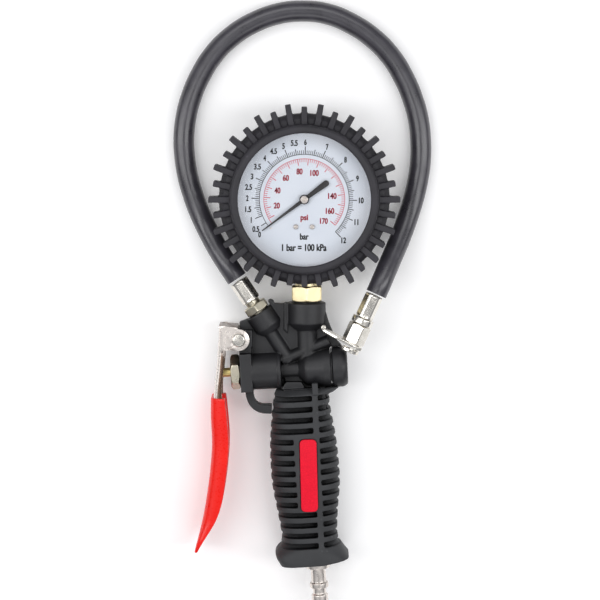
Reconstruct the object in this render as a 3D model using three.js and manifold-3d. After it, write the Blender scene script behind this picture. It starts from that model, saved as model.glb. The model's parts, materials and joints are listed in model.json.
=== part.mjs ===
// Tyre inflator with gauge, lying on its back. Millimetres, +Z up, origin under the middle of the
// dial on the surface that the tool rests on, +Y from the grip towards the gauge.
import * as THREE from "three";
import { mergeVertices } from "three/addons/utils/BufferGeometryUtils.js";
import Module from "manifold-3d";

const wasm = await Module();
wasm.setup();

// ---------------------------------------------------------------- driving dimensions
const FIT = 0.3; // gap between pieces that touch
const MID = 17; // height of the body's, stem's and grip's common mid-plane
const ROUND = 20; // sides of a round piece
const WIDE_ROUND = 36; // sides of the gauge's large rings

const DIAL_R = 39; // printed dial
const CASE_R = 40.3; // gauge case, outside
const BOOT_R = 48.7; // rubber boot, outside, between its fins
const BOOT_DEPTH = 39;
const FINS = 36;
const STEM_X = 1.45; // the gauge stem stands a little right of the dial's middle

const CHAMBER = { x: -4, y: -99.5, tilt: 3 }; // valve axis, and its slope in degrees
const PORT = { x: -26.6, y: -66.5, tilt: 31.5 }; // mouth of the hose boss
const HANDLE = { x: 0.6, y: -104, tilt: 3.8 }; // top of the handle
const CHUCK = { x: 41.2, y: -54.9, z: 27, tilt: -24.5 }; // where the hose meets the chuck's ferrule
const PIVOT = { x: -37.8, y: -81.3 }; // trigger pin
const TRIGGER_HALF = 10.5; // half the width of the trigger's channel

const HOSE_R = 6.1;
// The hose leaves its ferrule at mid-plane height, comes down to the surface, runs round the gauge
// and rises to the chuck, which rests on the body's shoulder.
const HOSE_ROUTE = [
  [-39.0, -46.8, 17], [-43.4, -40.2, 16.7], [-48.3, -32.8, 14.4], [-53.0, -25.0, 11.0],
  [-57.4, -16.8, 8.0], [-61.6, -7.6, 6.5], [-65.0, 2.0, 6.2], [-67.9, 12.7, 6.2],
  [-69.4, 23.0, 6.2], [-69.9, 34.0, 6.2], [-68.6, 46.0, 6.2], [-65.4, 58.0, 6.2],
  [-60.2, 70.0, 6.2], [-52.6, 82.0, 6.2], [-42.2, 92.4, 6.2], [-29.4, 100.4, 6.2],
  [-15.0, 105.6, 6.2], [-0.7, 107.1, 6.2], [13.6, 105.4, 6.2], [27.2, 99.9, 6.2],
  [39.4, 91.9, 6.2], [49.8, 81.4, 6.2], [57.6, 69.0, 6.2], [62.8, 57.0, 6.2],
  [66.2, 45.0, 6.2], [67.6, 33.0, 6.2], [67.6, 21.0, 6.2], [66.2, 10.0, 6.2],
  [63.7, -1.0, 6.9], [60.0, -12.4, 9.4], [55.9, -23.0, 13.4], [51.1, -33.4, 18.6],
  [46.4, -43.4, 24.2], [43.7, -49.4, 26.5], [41.32, -54.63, 27],
];

// ---------------------------------------------------------------- solids
// A closed geometry as a solid, whichever way its profile was drawn.
function solid(geometry) {
  const bare = geometry.index ? geometry.toNonIndexed() : geometry.clone();
  bare.deleteAttribute("normal");
  bare.deleteAttribute("uv");
  const merged = mergeVertices(bare, 1e-4);
  const vertProperties = merged.attributes.position.array;
  const triVerts = new Uint32Array(merged.index.array);
  const made = new wasm.Manifold(new wasm.Mesh({ numProp: 3, vertProperties, triVerts }));
  if (made.volume() >= 0) return made;
  for (let i = 0; i < triVerts.length; i += 3) {
    [triVerts[i + 1], triVerts[i + 2]] = [triVerts[i + 2], triVerts[i + 1]];
  }
  return new wasm.Manifold(new wasm.Mesh({ numProp: 3, vertProperties, triVerts }));
}

function geometryOf(manifold) {
  const mesh = manifold.getMesh();
  const geometry = new THREE.BufferGeometry();
  geometry.setAttribute("position", new THREE.BufferAttribute(mesh.vertProperties, 3));
  geometry.setIndex(new THREE.BufferAttribute(mesh.triVerts, 1));
  geometry.computeVertexNormals();
  return geometry;
}

// The first geometry with the others joined on, then the cutters taken away.
function shape(joined, cutters = []) {
  let whole = solid(joined[0]);
  for (const other of joined.slice(1)) whole = whole.add(solid(other));
  for (const cutter of cutters) whole = whole.subtract(solid(cutter));
  return geometryOf(whole);
}

// Turned piece from [radius, height] points, closed on the axis or on itself, along +Y.
function turned(points, sides = ROUND) {
  return new THREE.LatheGeometry(points.map(([r, y]) => new THREE.Vector2(r, y)), sides);
}

function rod(radius, from, to, sides = ROUND) {
  return turned([[0, from], [radius, from], [radius, to], [0, to]], sides);
}

function ring(outer, inner, from, to, sides = ROUND) {
  return turned([[inner, from], [outer, from], [outer, to], [inner, to], [inner, from]], sides);
}

// Turns a piece made along +Y so that it runs along another axis.
const alongX = (geometry) => geometry.rotateZ(-Math.PI / 2);
const alongZ = (geometry) => geometry.rotateX(Math.PI / 2);

function box(x, y, z) {
  const middle = (span) => (span[0] + span[1]) / 2;
  const made = new THREE.BoxGeometry(x[1] - x[0], y[1] - y[0], z[1] - z[0]);
  return made.translate(middle(x), middle(y), middle(z));
}

// A flat outline in X and Y, raised from z low to z high.
function plate(points, low, high) {
  const outline = points instanceof THREE.Shape
    ? points
    : new THREE.Shape(points.map(([x, y]) => new THREE.Vector2(x, y)));
  const options = { depth: high - low, bevelEnabled: false, curveSegments: 6 };
  return new THREE.ExtrudeGeometry(outline, options).translate(0, 0, low);
}

// Hexagonal bar along +Y, with two of its corners towards +Z and -Z.
function hexagon(acrossFlats, from, to) {
  return rod(acrossFlats / Math.sqrt(3), from, to, 6);
}

// The same bar turned so that its flats lie towards +Z and -Z.
function flatHexagon(acrossFlats, from, to) {
  return hexagon(acrossFlats, from, to).rotateY(Math.PI / 2);
}

// A helical spring of round wire along +Y, with a flat turn at each end.
function coil(radius, wire, from, to, turns) {
  class Helix extends THREE.Curve {
    getPoint(t, target = new THREE.Vector3()) {
      const angle = t * turns * 2 * Math.PI;
      const rise = THREE.MathUtils.smoothstep(t, 0, 1) * 0.35 + t * 0.65;
      const y = from + wire + (to - from - 2 * wire) * rise;
      return target.set(radius * Math.cos(angle), y, radius * Math.sin(angle));
    }
  }
  return sweep(new Helix(), wire, turns * 10, 6);
}

// A round section carried along a curve.
function sweep(curve, radius, steps, sides) {
  const section = new THREE.Shape();
  for (let i = 0; i < sides; i++) {
    const angle = (i * 2 * Math.PI) / sides;
    const [x, y] = [radius * Math.cos(angle), radius * Math.sin(angle)];
    if (i === 0) section.moveTo(x, y);
    else section.lineTo(x, y);
  }
  return new THREE.ExtrudeGeometry(section, { steps, extrudePath: curve, curveSegments: 1 });
}

// ---------------------------------------------------------------- finishes
function finish(color, roughness, metalness) {
  return new THREE.MeshStandardMaterial({ color, roughness, metalness });
}

const blackCasting = finish(0x2c2d2f, 0.55, 0.2);
const blackRubber = finish(0x2b2b2d, 0.75, 0);
const hoseRubber = finish(0x3a3940, 0.5, 0);
const nickel = finish(0xd8d4cc, 0.22, 1);
const steel = finish(0xb4aeaa, 0.35, 1);
const brass = finish(0xd8b668, 0.28, 1);
const aluminium = finish(0xc2c4c6, 0.4, 1);
const redVinyl = finish(0xe8261c, 0.4, 0);
const labelRed = finish(0xd01f2e, 0.5, 0);
const dialWhite = finish(0xdde3ee, 0.6, 0);
const dialBlack = finish(0x141414, 0.5, 0);
const glass = new THREE.MeshStandardMaterial({ color: 0xf4f8fb, transparent: true, opacity: 0.2 });

const inflator = new THREE.Group();

function piece(parent, name, geometry, material) {
  const mesh = new THREE.Mesh(geometry, material);
  mesh.name = name;
  parent.add(mesh);
  return mesh;
}

function frameAt({ x, y, z = MID, tilt }) {
  const group = new THREE.Group();
  group.position.set(x, y, z);
  group.rotation.z = THREE.MathUtils.degToRad(tilt);
  inflator.add(group);
  return group;
}

// ---------------------------------------------------------------- gauge boot
// A rubber cup with a lip over the bezel and square fins round its shoulder. Every second fin is
// longer, and the three over the stem are cut short.
function bootFin(index) {
  const angle = (index * 360) / FINS;
  const overStem = Math.abs(angle - 270) <= 10;
  const tip = overStem ? 49.6 : index % 2 ? 52.6 : 54.6;
  const outline = [[43, -1.75], [tip, -1.6], [tip, 1.6], [43, 1.75]];
  return plate(outline, 20.5, 35.6).rotateZ(THREE.MathUtils.degToRad(angle));
}

const bootShell = alongZ(turned([
  [0, 0], [42, 0], [46.4, 2.6], [BOOT_R, 7], [BOOT_R, 30.5], [46, 33.6], [42.6, 34.6], [42.2, 38],
  [41.2, BOOT_DEPTH], [39.2, BOOT_DEPTH], [38.6, 38.4], [38.6, 36.6], [40.7, 36.6], [40.7, 1.6], [0, 1.6],
], WIDE_ROUND));
const bootFins = Array.from({ length: FINS }, (_, index) => bootFin(index));
const stemSlot = box([STEM_X - 9.5, STEM_X + 9.5], [-56, -38], [MID - 9.5, MID + 9.5]);
const ventHole = alongZ(rod(2.5, -1, 3, 16)).translate(0, 24, 0);
piece(inflator, "boot", shape([bootShell, ...bootFins], [stemSlot, ventHole]), blackRubber);

// ---------------------------------------------------------------- gauge case, bezel, lens and dial
const caseCup = alongZ(turned([
  [0, 2], [CASE_R, 2], [CASE_R, 32.6], [39.4, 32.6], [39.4, 3], [0, 3],
], WIDE_ROUND));
const stemHole = rod(7.1, -45, -36).translate(STEM_X, 0, MID);
piece(inflator, "gauge_case", shape([caseCup], [stemHole]), steel);

const bezelRing = alongZ(turned([
  [39.5, 32.9], [40.4, 32.9], [40.4, 36.3], [38.8, 36.3], [38.8, 35.8], [39.5, 35.8], [39.5, 32.9],
], WIDE_ROUND));
piece(inflator, "bezel", bezelRing, steel);
piece(inflator, "lens", alongZ(rod(39.2, 33.9, 35.5, WIDE_ROUND)), glass);

const SCREW_AT = [[-4.8, -15.7], [4.5, -15.7]];
const screwHoles = SCREW_AT.map(([x, y]) => alongZ(rod(1.1, 20, 32, 12)).translate(x, y, 0));
const dialDisc = alongZ(rod(DIAL_R, 29.2, 29.8, WIDE_ROUND));
piece(inflator, "dial", shape([dialDisc], [alongZ(rod(2.2, 28, 31, 16)), ...screwHoles]), dialWhite);

SCREW_AT.forEach(([x, y], index) => {
  const screwProfile = [[0, 23], [0.8, 23], [0.8, 30.1], [1.45, 30.1], [1.45, 30.6], [1, 31], [0, 31]];
  const screw = alongZ(turned(screwProfile, 16));
  piece(inflator, `dial_screw_${index + 1}`, screw.translate(x, y, 0), steel);
});

// ---------------------------------------------------------------- gauge movement
// The pressure bends the Bourdon tube, the link turns the toothed sector, and the sector turns the
// pinion and pointer eight times as far.
const TOOTH = { module: 0.5, add: 0.42, root: 0.62, tipHalf: 0.12, rootHalf: 0.42 };
const PINION_TEETH = 10;
const SECTOR_TEETH = 80; // on a full circle
const PINION_R = (TOOTH.module * PINION_TEETH) / 2;
const SECTOR_R = (TOOTH.module * SECTOR_TEETH) / 2;
const MESH_DEG = 138; // direction from the sector's pivot to the pinion
const meshRad = THREE.MathUtils.degToRad(MESH_DEG);
const SECTOR_AT = [
  -(PINION_R + SECTOR_R) * Math.cos(meshRad),
  -(PINION_R + SECTOR_R) * Math.sin(meshRad),
];

function tooth(pitchRadius, angle, low, high) {
  const [inner, outer] = [pitchRadius - TOOTH.root - 0.1, pitchRadius + TOOTH.add];
  const outline = [
    [inner, -TOOTH.rootHalf], [outer, -TOOTH.tipHalf], [outer, TOOTH.tipHalf], [inner, TOOTH.rootHalf],
  ];
  return plate(outline, low, high).rotateZ(angle);
}

// The sector has a tooth on the line of centres at rest, so the pinion has a gap there.
const sectorStep = (2 * Math.PI) / SECTOR_TEETH;
const sectorTeeth = [];
for (let index = -8; index <= 1; index++) {
  sectorTeeth.push(tooth(SECTOR_R, meshRad + index * sectorStep, 16.6, 17.8));
}
const wedge = new THREE.Shape();
const SECTOR_RIM = SECTOR_R - TOOTH.root;
wedge.absarc(0, 0, SECTOR_RIM, meshRad - 8.6 * sectorStep, meshRad + 1.6 * sectorStep);
wedge.lineTo(-2, -0.6);
wedge.lineTo(2, -0.6);
const TAIL = [4, -6.9]; // from the sector's pivot to the link's pin
const sectorParts = [
  plate(wedge, 16.6, 17.8),
  plate([[-2.2, 1], [2.2, 1], [TAIL[0] + 1.6, TAIL[1] - 1], [TAIL[0] - 1.6, TAIL[1] - 1.4]], 16.6, 17.8),
  alongZ(rod(1, 10.8, 23.4, 12)),
  alongZ(rod(0.8, 14.6, 17, 12)).translate(TAIL[0], TAIL[1], 0),
  ...sectorTeeth,
];
const sector = shape(sectorParts);
piece(inflator, "sector_gear", sector.translate(SECTOR_AT[0], SECTOR_AT[1], 0), brass);

const pinionParts = [
  alongZ(rod(1, 10.8, 32.2, 12)),
  alongZ(rod(PINION_R - TOOTH.root, 15.8, 18.6, 20)),
];
for (let index = 0; index < PINION_TEETH; index++) {
  const angle = meshRad + Math.PI + ((index + 0.5) * 2 * Math.PI) / PINION_TEETH;
  pinionParts.push(tooth(PINION_R, angle, 15.8, 18.6));
}
piece(inflator, "pinion_shaft", shape(pinionParts), brass);

const POINTER_DEG = 216.6; // the pointer stands on zero
const needle = new THREE.Shape();
needle.moveTo(30.2, -0.35);
needle.lineTo(30.2, 0.35);
needle.lineTo(2, 1.1);
needle.lineTo(-6, 1.3);
needle.lineTo(-14, 1.9);
needle.absarc(-15.4, 0, 2.1, Math.PI / 2, (3 * Math.PI) / 2);
needle.lineTo(-14, -1.9);
needle.lineTo(-6, -1.3);
needle.lineTo(2, -1.1);
const pointerSolid = shape(
  [plate(needle, 31, 31.5), alongZ(rod(2.9, 30.8, 33.2, 20))],
  [alongZ(rod(1.3, 30, 32.5, 16))],
);
piece(inflator, "pointer", pointerSolid.rotateZ(THREE.MathUtils.degToRad(POINTER_DEG)), dialBlack);

const pillars = [[9, 12], [-11, 4], [SCREW_AT[0][0], SCREW_AT[0][1] + 5]];
const arborHoles = [alongZ(rod(1.2, 8, 26, 12)), alongZ(rod(1.2, 8, 26, 12)).translate(...SECTOR_AT, 0)];
const plateOutline = [[-14, -8], [-7, -21], [18, -21], [20, -10], [12, 15], [-8, 15]];
const pillarRods = pillars.map(([x, y]) => alongZ(rod(1.4, 10, 23.6, 12)).translate(x, y, 0));
const backPlate = shape([plate(plateOutline, 9.4, 10.4), ...pillarRods], arborHoles);
piece(inflator, "movement_back_plate", backPlate, brass);
const frontPlate = shape([plate(plateOutline, 23.9, 25)], [...arborHoles, ...screwHoles]);
piece(inflator, "movement_front_plate", frontPlate, brass);

const TUBE_START = THREE.MathUtils.degToRad(-106);
const TUBE_END = THREE.MathUtils.degToRad(-10 - 360);
const bourdon = new THREE.Shape();
bourdon.absarc(0, 0, 29.2, TUBE_START, TUBE_END, true);
bourdon.absarc(0, 0, 26.8, TUBE_END, TUBE_START, false);
const tubeTip = [28 * Math.cos(TUBE_END), 28 * Math.sin(TUBE_END)];
const BOURDON = { low: 12.4, depth: 8 };
const bourdonOptions = { depth: BOURDON.depth, bevelEnabled: false, curveSegments: 30 };
const bourdonParts = [
  new THREE.ExtrudeGeometry(bourdon, bourdonOptions).translate(0, 0, BOURDON.low),
  box([tubeTip[0] - 2.4, tubeTip[0] + 2], [tubeTip[1] - 5, tubeTip[1] + 1], [BOURDON.low, 14]),
];
piece(inflator, "bourdon_tube", shape(bourdonParts), brass);

const LINK_PIN = [SECTOR_AT[0] + TAIL[0], SECTOR_AT[1] + TAIL[1]];
const LINK_LENGTH = 13;
const link = shape(
  [
    plate([[0, -1], [LINK_LENGTH, -1], [LINK_LENGTH, 1], [0, 1]], 14.8, 16.2),
    alongZ(rod(1.8, 14.8, 16.2, 12)),
    alongZ(rod(1.4, 14.8, 16.2, 12)).translate(LINK_LENGTH, 0, 0),
  ],
  [alongZ(rod(1.1, 14, 17, 12)), alongZ(rod(0.8, 14, 17, 12)).translate(LINK_LENGTH, 0, 0)],
);
piece(inflator, "link", link.rotateZ(THREE.MathUtils.degToRad(68)).translate(...LINK_PIN, 0), brass);

// ---------------------------------------------------------------- gauge stem
// One brass turning: thread in the body, hexagon, neck through the case and the block that holds
// the Bourdon tube.
const stemLine = new THREE.Group();
stemLine.position.set(STEM_X, 0, MID);
inflator.add(stemLine);
const stemParts = [
  rod(4.9, -69, -59.6),
  hexagon(17.2, -59.7, -50.6),
  rod(6.7, -50.7, -35.5),
  box([-6, 4.5], [-36, -24], [-6, 5]),
];
piece(stemLine, "gauge_stem", shape(stemParts, [rod(1.4, -70, -28, 12)]), brass);
piece(stemLine, "stem_seal", ring(7.6, 5.2, -60.3, -60.0), blackRubber);

// ---------------------------------------------------------------- valve body
// A black casting: the valve chamber runs across, the gauge boss stands up, the hose boss leans
// left, and cast passages join them over a web.
const WEB = 2.8; // half the web's thickness
const LUG = 5.7; // half the thickness of the lug that holds the trigger pin
const place = (geometry, frame) => geometry
  .rotateZ(THREE.MathUtils.degToRad(frame.tilt))
  .translate(frame.x, frame.y, 0);

// A rod from one point to another in the mid-plane, flattened or deepened along Z.
function passage(from, to, radius, depth) {
  const [a, b] = [new THREE.Vector2(...from), new THREE.Vector2(...to)];
  const way = b.clone().sub(a);
  return rod(radius, 0, way.length(), 14)
    .scale(1, 1, depth / radius)
    .rotateZ(way.angle() - Math.PI / 2)
    .translate(a.x, a.y, 0);
}

const webOutline = [
  [-37.4, -75.6], [-37.6, -71.8], [-33.4, -70.3], [-21.6, -62.2], [-21.2, -59.4], [-19.6, -58.5],
  [-18, -59.2], [-17.2, -60.9], [-11, -61.2], [12.6, -66], [14.2, -71.6], [16.6, -77.6], [19.4, -83],
  [21.6, -85.2], [21.6, -85.9], [14.6, -86.3], [14.6, -106], [8, -109], [-30, -109], [-33, -86],
  [-33.5, -79],
];
const chamberProfile = [
  [0, -33.1], [8, -33.1], [8, -26.4], [11.2, -26.4], [11.2, -9.8], [10.4, -9.4], [5.5, -9.4],
  [5.5, 0.5], [9.4, 4.4], [10, 5.6], [11.8, 15.5], [11.8, 19.3], [0, 19.3],
];
const bodyParts = [
  plate(webOutline, -WEB, WEB),
  place(alongX(turned(chamberProfile)), CHAMBER),
  place(box([-33.1, -26.2], [-10.9, 11.4], [-10.6, 10.6]), CHAMBER),
  place(box([-33.1, -26.2], [11, 21], [-6.4, 6.4]), CHAMBER),
  rod(5, -LUG, LUG, 20).rotateX(Math.PI / 2).translate(PIVOT.x, PIVOT.y, 0),
  plate([[-37.8, -86.3], [-30, -86.3], [-30, -76.3], [-37.8, -76.3]], -LUG, LUG),
  place(turned([[0, 0], [8.6, 0], [8.6, -9.6], [6, -13.4], [0, -13.4]]), PORT),
  turned([[0, -60.5], [11.2, -60.5], [11.2, -72.4], [6.8, -76.2], [0, -76.2]]).translate(1.3, 0, 0),
  passage([1.6, -75], [2.2, -98], 6.4, 6.2),
  passage([-19.8, -77], [-8.4, -95], 4.6, 5.8),
  passage([-13.2, -94.2], [14.4, -82.6], 4, 6),
  place(box([-13, 11], [-19.6, 3], [-8, 8]), HANDLE),
];
// The hook below the chamber's left end curls round the finger hole and ends beside the grip.
const hook = new THREE.Shape();
hook.moveTo(-34.4, -108);
hook.lineTo(-34.2, -113);
hook.bezierCurveTo(-33.6, -121, -28.5, -125.5, -22, -125.5);
hook.lineTo(-18.9, -125.5);
hook.lineTo(-18.9, -120.3);
hook.lineTo(-23.4, -120.3);
hook.bezierCurveTo(-27.4, -120.3, -29.4, -118, -29.5, -113.6);
hook.lineTo(-29.5, -108);
bodyParts.push(plate(hook, -4, 4));

const bodyBores = [
  place(alongX(rod(6.2, -34, -26, 16)), CHAMBER),
  place(alongX(rod(5.3, -26.1, -11.5, 16)), CHAMBER),
  place(alongX(rod(3, -12, 5, 12)), CHAMBER),
  place(alongX(rod(8.4, 4.9, 20, 16)), CHAMBER),
  place(rod(4.6, -9, 1, 16), PORT),
  place(rod(8.2, 0.3, 7), PORT),
  place(rod(2, -34, -8, 10), PORT),
  rod(5.2, -70, -60, 16).translate(STEM_X, 0, 0),
  rod(1.8, -97, -69, 12).translate(STEM_X, 0, 0),
  place(rod(7.1, -20, -7.7, 16), HANDLE),
  place(rod(2.6, -8, 3, 12), HANDLE),
  rod(2.25, -12, 12, 20).rotateX(Math.PI / 2).translate(PIVOT.x, PIVOT.y, 0),
];
const midPlane = new THREE.Group();
midPlane.position.z = MID;
inflator.add(midPlane);
piece(midPlane, "valve_body", shape(bodyParts, bodyBores), blackCasting);

// ---------------------------------------------------------------- valve
const valve = frameAt(CHAMBER);
const nutSolid = shape(
  [alongX(flatHexagon(18.1, -38.7, -33.4)), alongX(rod(5.9, -33.5, -26.6, 24))],
  [alongX(rod(3.0, -40, -25, 20))],
);
piece(valve, "valve_nut", nutSolid, nickel);
const plungerProfile = [
  [0, -45.2], [1.9, -45.2], [2.65, -44.5], [2.65, -20.4], [4.9, -20.4], [4.9, -18.6], [3.3, -18.6],
  [3.3, -16.4], [4.9, -16.4], [4.9, -15.6], [1.7, -15.6], [1.7, 9.4], [0, 9.4],
];
piece(valve, "plunger", alongX(turned(plungerProfile, 16)), brass);
piece(valve, "plunger_seal", alongX(ring(5.05, 3.5, -18.4, -16.6, 20)), blackRubber);
piece(valve, "poppet_seal", alongX(ring(5.6, 2, 5.3, 6.7, 24)), blackRubber);
piece(valve, "poppet", alongX(ring(6.6, 2, 7, 9.6, 24)), brass);
piece(valve, "valve_spring", alongX(coil(4.4, 0.55, 9.9, 25.5, 5)), steel);
const capSolid = alongX(turned([
  [5.5, 14.5], [8.1, 14.5], [8.1, 20.3], [11.9, 20.3], [11.7, 27.2], [10.4, 29.2], [0, 29.2], [0, 26],
  [5.5, 26], [5.5, 14.5],
]));
piece(valve, "end_cap", capSolid, blackCasting);
piece(valve, "cap_seal", alongX(ring(11.2, 8.5, 19.6, 20)), blackRubber);

// ---------------------------------------------------------------- trigger
// A steel channel bent over at the top, with an ear on each side of the body's lug, and a vinyl
// sleeve over its lower part. The web faces left, away from the grip.
const SHEET = 1.5;
const webLine = new THREE.CatmullRomCurve3([
  [-49.2, -73.2], [-49.7, -84], [-50.8, -98], [-52.3, -112], [-52.6, -126], [-52.0, -142], [-52.9, -156],
  [-54.8, -171], [-57.0, -185], [-59.5, -199.5], [-60.6, -204],
].map(([x, y]) => new THREE.Vector3(x, y, 0)));
// How far the channel's flanges reach to the right of the web, from the ears down to the tip.
const flangeReach = (t) => THREE.MathUtils.lerp(4.2, 6.4, THREE.MathUtils.smoothstep(t, 0.25, 0.45))
  * (1 - 0.76 * THREE.MathUtils.smoothstep(t, 0.7, 1));

// The outline between the web line moved by a start distance and by a reach that varies down it.
function channelOutline(from, to, start, reach) {
  const points = webLine.getPoints(40).filter((_, index) => index / 40 >= from && index / 40 <= to);
  const count = points.length - 1;
  const left = points.map((p) => [p.x + start, p.y]);
  const right = points.map((p, index) => [p.x + reach(from + ((to - from) * index) / count), p.y]);
  return [...left, ...right.reverse()];
}

const half = TRIGGER_HALF;
const flange = channelOutline(0, 0.97, 0, flangeReach);
const ear = new THREE.Shape();
ear.moveTo(-49.2, -73.2);
ear.lineTo(-49.9, -87.5);
ear.lineTo(-37.8, -87.5);
ear.absarc(PIVOT.x, PIVOT.y, 6.2, -Math.PI / 2, Math.PI / 2, false);
const pinHole = rod(2.3, -20, 20, 20).rotateX(Math.PI / 2).translate(PIVOT.x, PIVOT.y, 0);
const triggerParts = [
  plate(channelOutline(0, 0.97, 0, () => SHEET), -half, half),
  plate(flange, half - SHEET, half),
  plate(flange, -half, SHEET - half),
  plate(ear, half - SHEET, half),
  plate(ear, -half, SHEET - half),
  plate([[-49.2, -74.8], [-38.4, -75.7], [-38.4, -74.2], [-49.2, -73.2]], -half, half),
];
piece(midPlane, "trigger", shape(triggerParts, [pinHole]), steel);

const sleeveOuter = channelOutline(0.32, 1, -1.9, (t) => flangeReach(t) + 2);
const sleeveInner = channelOutline(0.3, 0.975, -FIT, (t) => flangeReach(t) + FIT);
piece(midPlane, "trigger_sleeve", shape(
  [plate(sleeveOuter, -half - 1.9, half + 1.9)],
  [plate(sleeveInner, -half - FIT, half + FIT)],
), redVinyl);

const pinProfile = [
  [0, -12.6], [1.6, -12.6], [1.6, -11.4], [2.05, -11.4], [2.05, 10.8], [3.9, 10.8], [3.9, 11.8],
  [3.3, 12.4], [0, 12.4],
];
piece(midPlane, "pivot_pin", alongZ(turned(pinProfile, 24)).translate(PIVOT.x, PIVOT.y, 0), nickel);
const clipRing = shape([alongZ(ring(3.6, 1.75, -12.3, -11.5, 20))], [box([0, 6], [-0.9, 0.9], [-13, -11])]);
piece(midPlane, "pin_clip", clipRing.translate(PIVOT.x, PIVOT.y, 0), steel);

// ---------------------------------------------------------------- handle
const handle = frameAt(HANDLE);
piece(handle, "handle_tube", ring(6.8, 4.2, -108, -8, 24), aluminium);

// The grip's left and right edges and its depth, down from the top: y, left, right, half depth.
const GRIP = [
  [-6.3, -17.4, 21, 11.5], [-8.4, -18.4, 17.6, 14], [-11, -19.2, 14.2, 15.4], [-16, -20.2, 13.3, 16],
  [-34, -22.8, 15.4, 16.8], [-50, -23.7, 16.4, 16.9],
  [-64, -23.4, 16.2, 16.8], [-80, -21.4, 14, 16.1], [-93, -20, 12.9, 15.4], [-98, -21.4, 14, 15.7],
  [-102.6, -24.4, 16.2, 16.7], [-105.8, -23.4, 18.9, 17], [-109.4, -20.4, 13.4, 15],
];

// A solid through rounded sections, one for each row of [y, left, right, half depth].
function lofted(rows, around) {
  const vertices = [];
  const faces = [];
  for (const [y, left, right, depth] of rows) {
    for (let i = 0; i < around; i++) {
      const angle = (i * 2 * Math.PI) / around;
      const [c, s] = [Math.cos(angle), Math.sin(angle)];
      const blunt = (value) => Math.sign(value) * Math.abs(value) ** 0.8;
      vertices.push((left + right) / 2 + ((right - left) / 2) * blunt(c), y, depth * blunt(s));
    }
  }
  for (let row = 0; row < rows.length - 1; row++) {
    for (let i = 0; i < around; i++) {
      const [a, b] = [row * around + i, row * around + ((i + 1) % around)];
      faces.push(a, b, a + around, b, b + around, a + around);
    }
  }
  for (const [row, flip] of [[0, false], [rows.length - 1, true]]) {
    for (let i = 1; i < around - 1; i++) {
      const [a, b, c] = [row * around, row * around + i, row * around + i + 1];
      faces.push(a, flip ? b : c, flip ? c : b);
    }
  }
  const geometry = new THREE.BufferGeometry();
  geometry.setAttribute("position", new THREE.Float32BufferAttribute(vertices, 3));
  geometry.setIndex(faces);
  return geometry;
}

// The grooves are deep at the front and back and run out towards the sides.
const GROOVES = { count: 15, first: -11, pitch: 6.19, width: 3.1, depth: 3.4, leftDepth: 0.5, rightDepth: 0.9 };
const gripCore = GRIP.map(([y, left, right, depth]) => (
  [y, left + GROOVES.leftDepth, right - GROOVES.rightDepth, depth - GROOVES.depth]
));
// What a groove takes away: a slice of the handle outside its core, but not the spine or label land.
let slices = null;
for (let index = 0; index < GROOVES.count; index++) {
  const y = GROOVES.first - index * GROOVES.pitch;
  const slice = solid(box([-32, 28], [y - GROOVES.width / 2, y + GROOVES.width / 2], [-22, 22]));
  slices = slices ? slices.add(slice) : slice;
}
const keep = [
  solid(lofted(gripCore, 12)),
  solid(plate([[3.4, 0], [6.6, 0], [4.2, -112], [1, -112]], -22, 22)),
  solid(box([-8.2, 6.2], [-80, -32], [0, 22])),
];
for (const part of keep) slices = slices.subtract(part);
// The grip's top is scooped out to clear the valve chamber, seen here from the handle's frame.
const CHAMBER_IN_HANDLE = { x: -4.3, y: 4.8, tilt: CHAMBER.tilt - HANDLE.tilt };
const SCOOP = { left: 11.6, right: 12.3, step: -9 };
const gripHollow = [
  place(alongX(rod(SCOOP.left, -28, SCOOP.step, 24)), CHAMBER_IN_HANDLE),
  place(alongX(rod(SCOOP.right, SCOOP.step - 0.1, 31, 24)), CHAMBER_IN_HANDLE),
  box([-13.3, 11.3], [-20, 0], [-8.3, 8.3]),
  rod(7.1, -106, 0, 24),
  rod(7.6, -113, -105.9, 24),
];
let gripSolid = solid(lofted(GRIP, 16)).subtract(slices);
for (const hollow of gripHollow) gripSolid = gripSolid.subtract(solid(hollow));
const LABEL = { x: -0.7, y: -55.6, tilt: -2.4, halfWidth: 4.9, halfHeight: 20.5, low: 15.9, top: 17.2 };
const badge = (gap, low, high) => {
  const [x, y] = [LABEL.halfWidth + gap, LABEL.halfHeight + gap];
  return place(box([-x, x], [-y, y], [low, high]), LABEL);
};
gripSolid = gripSolid.subtract(solid(badge(FIT, LABEL.low - FIT, 22)));
piece(handle, "grip", geometryOf(gripSolid), blackRubber);
piece(handle, "label_badge", badge(0, LABEL.low, LABEL.top), labelRed);

// ---------------------------------------------------------------- air inlet
const plugOuter = [
  [3.9, -98], [3.9, -108.3], [7.2, -108.3], [7.2, -114], [4.4, -114.6], [4.4, -122.8], [5.5, -123], [5.5, -126],
  [3.9, -126.3], [3.9, -129.6], [4.9, -130.3], [4.9, -134], [3.6, -138.6],
];
const plugBore = [[2.7, -138.6], [2.7, -98], [3.9, -98]];
piece(handle, "inlet_plug", shape([turned([...plugOuter, ...plugBore], 16)]), steel);

// ---------------------------------------------------------------- hose
const hoseEnd = frameAt(PORT);
const adaptorParts = [
  rod(4.3, -8, 0.9, 20),
  hexagon(13.4, 0.8, 5.6),
  rod(4.3, 5.5, 7.6, 20),
  rod(2.6, 7.5, 20.4, 16),
];
piece(hoseEnd, "hose_adaptor", shape(adaptorParts, [rod(1.6, -9, 21, 12)]), nickel);
piece(hoseEnd, "ferrule_left", ring(5.6, 2.9, 8, 21.6, 12), nickel);

const routePoints = HOSE_ROUTE.map((point) => new THREE.Vector3(...point));
const route = new THREE.CatmullRomCurve3(routePoints, false, "centripetal");
piece(inflator, "hose", sweep(route, HOSE_R, 60, 10), hoseRubber);

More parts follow.
